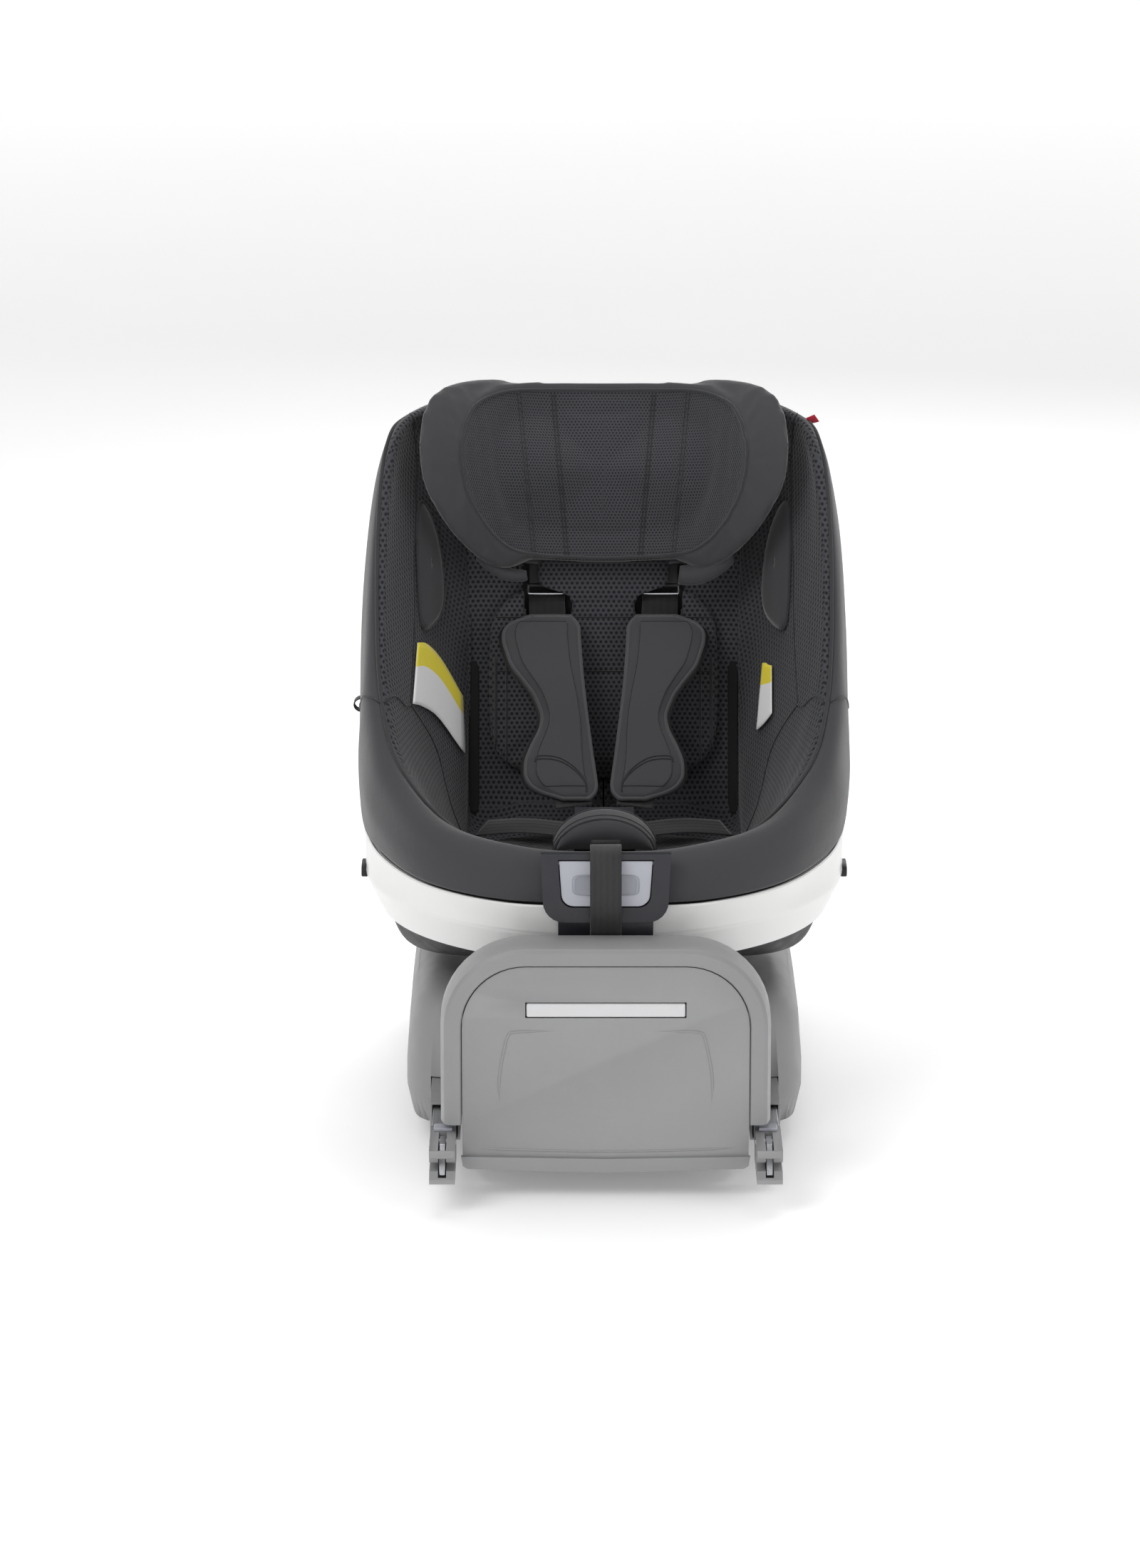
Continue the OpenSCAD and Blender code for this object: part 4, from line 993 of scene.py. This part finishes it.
def inserts():
    """The two mesh cushions that the child sits on and leans on."""
    back_seams = (0.135, 0.185)

    def sewn_back(co):
        _, up, out = back_frame(co)
        lines = np.min([np.abs(up - s) for s in back_seams], axis=0) < 0.0026
        return lines | (out < 0.004)

    def back_uv(co):
        x, up, _ = back_frame(co)
        return np.stack([x, up], axis=1)

    back = soft_pad("back_insert", "back_cushion", 4 * MM, [MESH], back_uv, sewn=sewn_back, cap=7 * MM,
                    rounds=4, press=1.0 * MM)
    settle(back, "seat", "back_cushion", slot="mesh_fabric")
    tree = surface_of(back)
    forward = (0, -COS, SIN)
    toward = tuple(-c for c in forward)
    seams = []
    for up in back_seams:
        line = fall_on(tree, [on_back(x, up * 1000, 60) for x in np.linspace(-100, 100, 50)], toward, 0.2 * MM)
        seams.append(tube("seam", line, 0.8 * MM, THREAD, sides=6))
    for side in (1, -1):
        for x, radius in ((99, 1.5), (89, 1.0)):
            line = fall_on(tree, [on_back(side * x, up, 60) for up in np.linspace(42, 148, 40)], toward, 0.2 * MM)
            seams.append(tube("seam", line, radius * MM, BINDING, sides=8))
        slot_line = [on_back(side * x, up, 60) for x, up in
                     smooth_curve([(30, 214), (29.5, 200), (31, 186), (40, 182.5), (60, 182.5), (71, 186),
                                   (72.5, 200), (72, 214)], 8)[:, :2]]
        seams.append(tube("seam", fall_on(tree, slot_line, toward, 0.2 * MM), 1.2 * MM, BINDING, sides=6))
    settle(joined("back_insert_seams", *seams), "seat", slot="smooth_fabric")

    rows = []
    heights = np.linspace(198, 237, 20)
    for up in heights:
        reach = float(np.interp(up, (198, 205, 209, 213, 218), (29, 32, 43, 55, 60)))
        out = float(np.interp(up, (198, 206), (10.5, 13)))
        rows.append([on_back(x, up, out + 1.5 * math.cos(x / reach * 1.2))
                     for x in np.linspace(-reach, reach, 25)])
    flat = np.array([(p[0], up / 1000) for row, up in zip(rows, heights) for p in row])
    tongue = sheet_object("back_insert_tongue", np.array(rows), 2.5 * MM, [MESH], closed=False, uvs=flat)
    mend_normals(tongue)
    settle(tongue, "seat", slot="mesh_fabric")

    def seat_uv(co):
        return co[:, :2]

    def sewn_seat(co):
        ring = np.hypot(co[:, 0] / 0.104, (co[:, 1] + 0.055) / 0.092)
        return (co[:, 2] < 0.2255) | (np.abs(ring - 0.78) < 0.012)

    seat = soft_pad("seat_insert", "seat_cushion", 4 * MM, [MESH], seat_uv, sewn=sewn_seat, cap=6 * MM,
                    rounds=4, press=1.0 * MM)
    settle(seat, "seat", "seat_cushion", slot="mesh_fabric")


HEAD_LOW = np.array((0, 0.165, 0.448))
# Piped edge of the headrest's mesh panel: half of it, across, up and out, in millimetres
HEAD_SEAM = [(0, 10, 38), (50, 11, 42), (82, 18, 56), (103, 36, 76), (118, 62, 92), (124, 90, 98), (123, 120, 95),
             (113, 148, 78), (88, 163, 54), (50, 167, 38), (0, 167, 36)]


def on_head(x, up, out):
    return HEAD_LOW + MM * np.array((x, up * SIN - out * COS, up * COS + out * SIN))


def head_frame(co):
    d = co - HEAD_LOW
    return d[:, 0], d[:, 1] * SIN + d[:, 2] * COS, -d[:, 1] * COS + d[:, 2] * SIN


def channel_x(up_share, top, low):
    """How far from the middle a sewn channel runs, at a share of the panel's height."""
    return low + (top - low) * up_share


def headrest():
    """Wings of smooth fabric round a mesh panel with four sewn channels."""
    outline = closed_loop(HEAD_SEAM, 10) / MM

    def inside(x, up):
        """Signed distance in metres from the panel's edge, positive inside, over the front view."""
        px, py = outline[:, 0] * MM, outline[:, 1] * MM
        hit = np.zeros(len(x), bool)
        near = np.full(len(x), 1e9)
        for a in range(len(px)):
            b = (a + 1) % len(px)
            crossing = ((py[a] > up) != (py[b] > up))
            at = px[a] + (up - py[a]) / (py[b] - py[a] + 1e-12) * (px[b] - px[a])
            hit ^= crossing & (x < at)
            near = np.minimum(near, np.hypot(x - px[a], up - py[a]))
        return np.where(hit, near, -near)

    def front(x, out):
        return out > np.interp(np.abs(x), (0, 0.084, 0.12, 0.135), (0.022, 0.04, 0.058, 0.068))

    def sewn(co):
        x, up, out = head_frame(co)
        share = np.clip(up / 0.166, 0, 1)
        in_front = front(x, out)
        edge = np.abs(inside(x, up)) < 0.0034
        lines = np.zeros(len(x), bool)
        for top, low in ((0.076, 0.062), (0.045, 0.032)):
            lines |= np.abs(np.abs(x) - channel_x(share, top, low)) < 0.0028
        return in_front & (edge | (lines & (inside(x, up) > 0))) | (out < 0.011)

    def zone(co):
        x, up, out = head_frame(co)
        return np.where(front(x, out) & (inside(x, up) > 0), 1, 0)

    def uv(co):
        x, up, out = head_frame(co)
        return np.stack([x + np.sign(x) * np.maximum(0, out - 0.036) * 0.8, up], axis=1)

    def shape(co):
        """Lifts the middle of the lower edge above the harness slots, and fills out the sides and the top."""
        x, up, _ = head_frame(co)
        middle = 1 - np.clip((np.abs(x) - 0.058) / 0.032, 0, 1)
        low = 1 - np.clip((up + 0.004) / 0.05, 0, 1)
        lift = 13 * MM * middle**2 * (3 - 2 * middle) * low + 3 * MM * np.clip(up / 0.166, 0, 1)
        return co * (1.04, 1, 1) + lift[:, None] * np.array((0, SIN, COS))

    pad = soft_pad("headrest_cushion", "headrest_pad", 4.5 * MM, [CLOTH, MESH_FINE], uv, zone=zone, sewn=sewn,
                   cap=9 * MM, rounds=10, press=2.5 * MM, shape=shape)
    settle(pad, "headrest", "headrest_pad", slot="smooth_fabric")
    tree = surface_of(pad)
    edge = laid_on(tree, [on_head(*p) for p in outline], 0.3 * MM)
    settle(tube("headrest_piping", edge, 1.6 * MM, BINDING, closed=True), "headrest", slot="smooth_fabric")
    toward = (0, COS, -SIN)
    seams = []
    for side in (1, -1):
        for top, low in ((76, 62), (45, 32)):
            line = [on_head(side * channel_x(t, top, low), 12 + 154 * t, 130)
                    for t in np.linspace(0.01, 0.98, 60)]
            for shift in (0, 3):
                moved = [p + np.array((side * shift * MM, 0, 0)) for p in line]
                seams.append(tube("seam", fall_on(tree, moved, toward, 0.1 * MM), 0.7 * MM, THREAD, sides=6))
    settle(joined("headrest_seams", *seams), "headrest", slot="smooth_fabric")

    for side, word in ((1, "right"), (-1, "left")):
        rows = []
        for drop in np.linspace(0, 1, 8):
            rows.append([on_head(side * (70 + 46 * t + 3 * drop * (t - 0.5)),
                                 2 + 18 * t * t - (15 - 4 * abs(2 * t - 1)**2) * drop,
                                 28 + 12 * t + 5 * math.sin(math.pi * drop)) for t in np.linspace(0, 1, 14)])
        lip = sheet_object("headrest_lip_" + word, np.array(rows), 5 * MM, [CLOTH], closed=False)
        subdivide(lip)
        mend_normals(lip)
        settle(lip, "headrest", slot="smooth_fabric")
    polish("headrest_shell", 0, DARK)
    polish("headrest_lever", 1.2 * MM, LIGHT)
    polish("harness_slider", 0.3 * MM, BLACK)
    hoop = [(37, 164, 440), (37, 158.5, 433.5), (41, 157.5, 432.5),
            (65, 157.5, 432.5), (69, 158.5, 433.5), (69, 164, 440)]
    bars = [tube("bar", MM * smooth_curve([(side * x, y, z) for x, y, z in hoop], 6), 1.3 * MM, STEEL)
            for side in (1, -1)]
    settle(joined("slider_bars", *bars), "headrest", slot="steel")


# ---------- harness ----------

# A shoulder strap's route, and the two edges of its pad: millimetres down the pad, and across the strap
STRAP_TOP, STRAP_LOW = on_back(52, 201, 4), np.array((27, -2, 273)) * MM
STRAP_ROUTE = [STRAP_TOP, on_back(51, 160, 52), on_back(38, 60, 66), STRAP_LOW]
PAD_INNER = ([0, 8, 62, 114, 158, 169, 172], [-19, -27, -25, -24, -23, -19, -12])
PAD_OUTER = ([0, 6, 16, 28, 50, 64, 76, 94, 106, 120, 134, 150, 162, 170, 172],
             [12, 32, 41, 42, 37, 27, 19, 14, 18, 28, 36, 39, 33, 16, 4])
PAD_LENGTH = 172
WEB_THICK = 1.8 * MM
STRAP_FINE = bezier(STRAP_ROUTE, 44)


def along_strap(s):
    """The strap's point at s millimetres down a shoulder pad, which starts at point 6 of the strap."""
    i = min(43.9, max(0, 6 + s * 0.214))
    k = int(i)
    return STRAP_FINE[k] + (STRAP_FINE[k + 1] - STRAP_FINE[k]) * (i - k)


def on_strap(s, x, lift):
    d = along_strap(s + 4) - along_strap(s)
    n = np.cross(d, (1, 0, 0))
    n /= np.linalg.norm(n)
    return along_strap(s) + np.array((x * MM, 0, 0)) + n * lift * MM * (1 if n[1] < 0 else -1)


def pad_edges(s):
    return np.interp(s, *PAD_INNER), np.interp(s, *PAD_OUTER)


def smooth_edges(s):
    """The pad's two edges, rounded over 8 mm so that the outline has no corners."""
    near = np.clip(np.linspace(s - 4, s + 4, 5), 0, PAD_LENGTH)
    pairs = [pad_edges(q) for q in near]
    return np.mean([p[0] for p in pairs]), np.mean([p[1] for p in pairs])


def pad_point(s, t, lift):
    inner, outer = smooth_edges(s)
    return on_strap(s, inner + (outer - inner) * t, lift)


def shoulder_pad():
    """An S-shaped padded sleeve with a bound edge, a stitch line inside it and a corner patch."""
    down = np.linspace(0, PAD_LENGTH, 64)
    across = np.linspace(0, 1, 21)
    rows = []
    for s in down:
        end = min(1, math.sqrt(max(0, min(s, PAD_LENGTH - s)) / 14))
        line = []
        for t in across:
            crown = min(1, 2.4 * math.sin(math.pi * t)) * end
            stitch = math.exp(-((min(t, 1 - t) - 0.1) / 0.02)**2) * 0.5
            swell = 0.45 * math.sin(s / 11 + 2 * t) * math.sin(math.pi * t)
            line.append(pad_point(s, t, 6.2 + 4.2 * crown + swell * end - stitch))
        rows.append(line)
    rows = np.array(rows)
    back = np.array([[pad_point(s, t, 3.4) for t in across] for s in down])
    m, n = rows.shape[:2]
    faces = grid_faces(m, n, False)
    count = m * n
    faces += [tuple(count + i for i in reversed(f)) for f in faces]
    rim = list(range(n)) + [i * n + n - 1 for i in range(1, m)]
    rim += [(m - 1) * n + j for j in range(n - 2, -1, -1)] + [i * n for i in range(m - 2, 0, -1)]
    faces += [(a, b, count + b, count + a) for a, b in zip(rim, rim[1:] + rim[:1])]
    uv = grid_uvs(rows)
    pad = as_object("pad", np.concatenate([rows.reshape(-1, 3), back.reshape(-1, 3)]), faces, [CLOTH],
                    uvs=np.concatenate([uv, uv]))
    mend_normals(pad)
    middle = (rows.reshape(-1, 3) + back.reshape(-1, 3)) / 2
    edge = [middle[i] for i in rim]
    # The binding's lighter colour is partly painted highlight
    binding = tube("binding", edge, 2.1 * MM, LIT_PAD_BINDING, closed=True)
    tree = surface_of(pad)
    inset = [pad_point(s, 0.09, 20) for s in np.linspace(8, 164, 50)]
    inset += [pad_point(164, t, 20) for t in np.linspace(0.12, 0.88, 14)]
    inset += [pad_point(s, 0.91, 20) for s in np.linspace(164, 8, 50)]
    inset += [pad_point(8, t, 20) for t in np.linspace(0.88, 0.12, 14)]
    stitch = tube("stitch", laid_on(tree, inset, 0.05 * MM), 0.55 * MM, THREAD, closed=True, sides=6)
    arc = smooth_curve([(134, 0.97), (132, 0.75), (134, 0.5), (142, 0.3), (153, 0.18), (168, 0.13)], 8)
    corner = [tube("corner", laid_on(tree, [pad_point(s + shift, t, 20) for s, t in arc[:, :2]], 0.1 * MM),
                   0.75 * MM, THREAD, sides=6) for shift in (0, 3)]
    return joined("shoulder_pad_soft_right", pad, binding, stitch, *corner)


def pad_underlay():
    """Dark grip layer behind the pad, a little wider on its outer side."""
    rows = []
    for s in np.linspace(3, 170, 40):
        inner, outer = smooth_edges(s)
        rows.append([on_strap(s, inner + 2 + (outer + 5 - inner - 2) * t, 2.6 - 1.0 * t)
                     for t in np.linspace(0, 1, 8)])
    under = sheet_object("pad_underlay_right", np.array(rows), 1.1 * MM, [BLACK], closed=False)
    mend_normals(under)
    return under


def harness():
    route = np.concatenate([[on_back(52, 209, 1.5)], bezier(STRAP_ROUTE, 60)])
    strap = ribbon("shoulder_webbing_right", route, 33 * MM, WEB_THICK, WEB)
    pad, under = shoulder_pad(), pad_underlay()
    for made, node, slot in ((strap, "shoulder_strap", "webbing"), (pad, "shoulder_pad", "smooth_fabric"),
                             (under, None, "rubber")):
        twin = mirrored(made, made.name.replace("right", "left"))
        for obj, word in ((made, "right"), (twin, "left")):
            settle(obj, "seat", *([f"{node}_{word}"] if node else []), slot=slot)

    laps = []
    for side in (1, -1):
        path = [MM * np.array((side * (110 - 76 * t), 14 - 40 * t,
                               244 + 14 * t + 3 * math.sin(math.pi * t) + 4.5 * (1 - t)))
                for t in np.linspace(0, 1, 30)]
        laps.append(ribbon("lap", path, 28 * MM, WEB_THICK, WEB, across=(0, 1, 0.16)))
    settle(joined("lap_webbing", *laps), "seat", "lap_straps", slot="webbing")

    polish("buckle", 1.6 * MM, DARK, segments=3)
    polish("buckle_button", 1.2 * MM, RED, segments=3)
    polish("buckle_tongues", 0.5 * MM, STEEL)

    def crotch_uv(co):
        return np.stack([co[:, 0] + np.sign(co[:, 0]) * (0.289 - co[:, 2]), co[:, 1]], axis=1)

    def sewn(co):
        edge = (np.abs(co[:, 1] + 0.0945) < 0.003) | (np.abs(co[:, 1] + 0.0555) < 0.003) | (co[:, 2] < 0.256)
        return edge | (np.abs(co[:, 1] + 0.083) < 0.0016)

    pad = soft_pad("crotch_pad_soft", "crotch_pad", 2.6 * MM, [CLOTH_DARK], crotch_uv, sewn=sewn, cap=4 * MM,
                   rounds=3, press=0.6 * MM)
    rows = []
    for t in np.linspace(0, 1, 14):
        bulge, drop = math.sin(math.pi * (0.08 + 0.8 * t)), t**1.3
        rows.append([])
        for a in np.linspace(0.05, math.pi - 0.05, 40):
            rise = 34.5 * math.sin(a) * (1 - drop) + (5 + 2.5 * math.sin(a)) * drop
            rows[-1].append(MM * np.array((44 * math.cos(a) * (1 - 0.04 * t), -91 - 13 * bulge * math.sin(a)**0.6,
                                           252 + rise + 0.8 * math.sin(9 * a) * bulge * t)))
    front = sheet_object("crotch_front", np.array(rows), 2 * MM, [CLOTH_DARK], closed=False)
    mend_normals(front)
    pad = joined("crotch_pad_soft", pad, front)
    settle(pad, "seat", "crotch_pad", slot="smooth_fabric")
    tree = surface_of(pad)
    bands = []
    for y, radius in ((-93, 1.5), (-83, 0.8), (-58, 1.2)):
        bands.append(tube("band", laid_on(tree, [MM * np.array((47 * math.cos(a), y, 252 + 37 * math.sin(a)))
                                                 for a in np.linspace(0.1, math.pi - 0.1, 40)], 0.2 * MM),
                          radius * MM, BINDING, sides=6))
    settle(joined("crotch_pad_seams", *bands), "seat", slot="smooth_fabric")


# ---------- front of the seat ----------


def front_dish(base, rings, height):
    """A shallow rounded frame laid on the front of a plate: each ring's point is (x, z, depth in mm)."""
    tree = surface_of(base)
    rows = []
    for ring in rings:
        row = []
        for x, z, depth in ring:
            spot, _, _, _ = tree.ray_cast(Vector((x, -0.4, height + z)), Vector((0, 1, 0)))
            row.append((spot[0], spot[1] - (1.0 - 0.5 * depth) * MM, spot[2]))
        rows.append(row)
    rows = np.array(rows)
    # The dish is coloured darker than the grip around it, as painted shade in the recess
    dish = sheet_object("grip_recess", rows, 0.3 * MM, [RECESS_SHADE_GREY])
    mend_normals(dish)
    return dish


def front_controls():
    polish("grip_bezel", 2.2 * MM, DARK, segments=3)
    grip = polish("recline_grip", 1.4 * MM, LIGHT, segments=3)
    low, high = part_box("recline_grip")
    middle_x, middle_z = (low[0] + high[0]) / 2, (low[2] + high[2]) / 2

    def squared(value):
        """Pushes a sine or cosine outwards, which turns a circle into a rounded rectangle."""
        return math.copysign(abs(value)**0.35, value)

    outline = [(squared(math.cos(a)) * 27 * MM, squared(math.sin(a)) * 8.5 * MM)
               for a in np.linspace(0, TURN, 40, endpoint=False)]
    rings = [[(middle_x + x * share, z * share, depth) for x, z in outline]
             for share, depth in ((1.06, 0.3), (1.0, -0.2), (0.96, 0.9), (0.93, 1.4), (0.5, 1.5), (0.02, 1.5))]
    hollow = front_dish(grip, rings, middle_z - 0.001)
    settle(hollow, "grip", slot="light_plastic")
    polish("adjuster_button", 1.0 * MM, BLACK)
    polish("front_skirt", 0.8 * MM, DARK)
    polish("rotation_button_left", 1.0 * MM, BLACK)
    polish("rotation_button_right", 1.0 * MM, BLACK)
    route = list(bezier([(0, -221, 298), (0, -236, 304), (0, -249, 301), (0, -251, 284)], 14))
    route += list(bezier([(0, -252.5, 274), (0, -256, 256), (0, -255, 242), (0, -242.8, 226)], 18))
    route += [np.array((0, -241.5, 212)), np.array((0, -240.5, 198))]
    strap = ribbon("adjuster_webbing", MM * np.array(route), 27 * MM, WEB_THICK, WEB)
    settle(strap, "seat", "adjust_strap", slot="webbing")


# ---------- base ----------


HIDDEN_PARTS = (                      # node, bevel in millimetres, material
    ("anchor_crossbar", 0.8, STEEL), ("latch_pins", 0.4, STEEL), ("leg_upper_tube", 1.2, GREY),
    ("leg_lower_tube", 0.8, STEEL), ("leg_foot", 2.0, RUBBER), ("leg_lock_button", 0.8, LIGHT),
    ("leg_hinge_pin", 0.5, STEEL), ("rubber_feet", 0.6, RUBBER), ("base_screws", 0.3, STEEL),
    ("turntable_plate", 0.8, DARK), ("recline_cradle", 1.0, BLACK), ("pivot_post", 0, STEEL),
    ("bearing_race", 0, STEEL), ("bearing_balls", 0, STEEL), ("recline_rails", 0, STEEL),
    ("headrest_rail", 0, STEEL), ("ball_cage", 0, LIGHT))


def base_parts():
    polish("base_upper_shell", 0, GREY_SOFT, angle=28, level=0.97)
    polish("base_lower_shell", 0.8 * MM, BLACK)
    polish("rebound_frame", 0.6 * MM, GREY, angle=28)
    panel = polish("rebound_panel", 0.8 * MM, GREY)
    tree = surface_of(panel)
    shoulder = [(30, 150.5), (60, 150.2), (78, 149.5), (84, 146), (88, 130), (91, 112), (91.5, 96), (90, 78)]
    lines = [([(side * x, z) for x, z in shoulder], 1.3) for side in (1, -1)]
    lines.append(([(-122, 46), (-80, 43.6), (0, 42), (80, 43.6), (122, 46)], 1.1))
    ridges = []
    for line, size in lines:
        path = smooth_curve([(x, 0, z) for x, z in line], 8)
        shares = np.linspace(0, 1, len(path))
        fade = np.clip(np.minimum(shares, 1 - shares) / 0.2, 0.05, 1)
        points = fall_on(tree, [MM * np.array((x, -400, z)) for x, _, z in path], (0, 1, 0), -0.35 * MM)
        ridges.append(tube("ridge", points, size * MM * fade, GREY, sides=10))
    settle(joined("panel_ridges", *ridges), "base", slot="body_grey")
    polish("rebound_back_plate", 0.8 * MM, GREY)
    polish("anchor_adjust_handle", 1.5 * MM, PALE, segments=3)
    polish("connector_guides", 0.6 * MM, GREY)
    for word in ("left", "right"):
        polish("connector_" + word, 2.0 * MM, GREY, segments=3)
        polish("anchor_arm_" + word, 0.6 * MM, STEEL)
        polish("latch_hook_" + word, 0.5 * MM, STEEL)
        polish("connector_button_" + word, 0.8 * MM, LIGHT)
    for node, bevel, material in HIDDEN_PARTS:
        polish(node, bevel * MM, material)


seat_cover()
cover_details()
shell_outside()
inserts()
headrest()
harness()
front_controls()
base_parts()
set_stage()
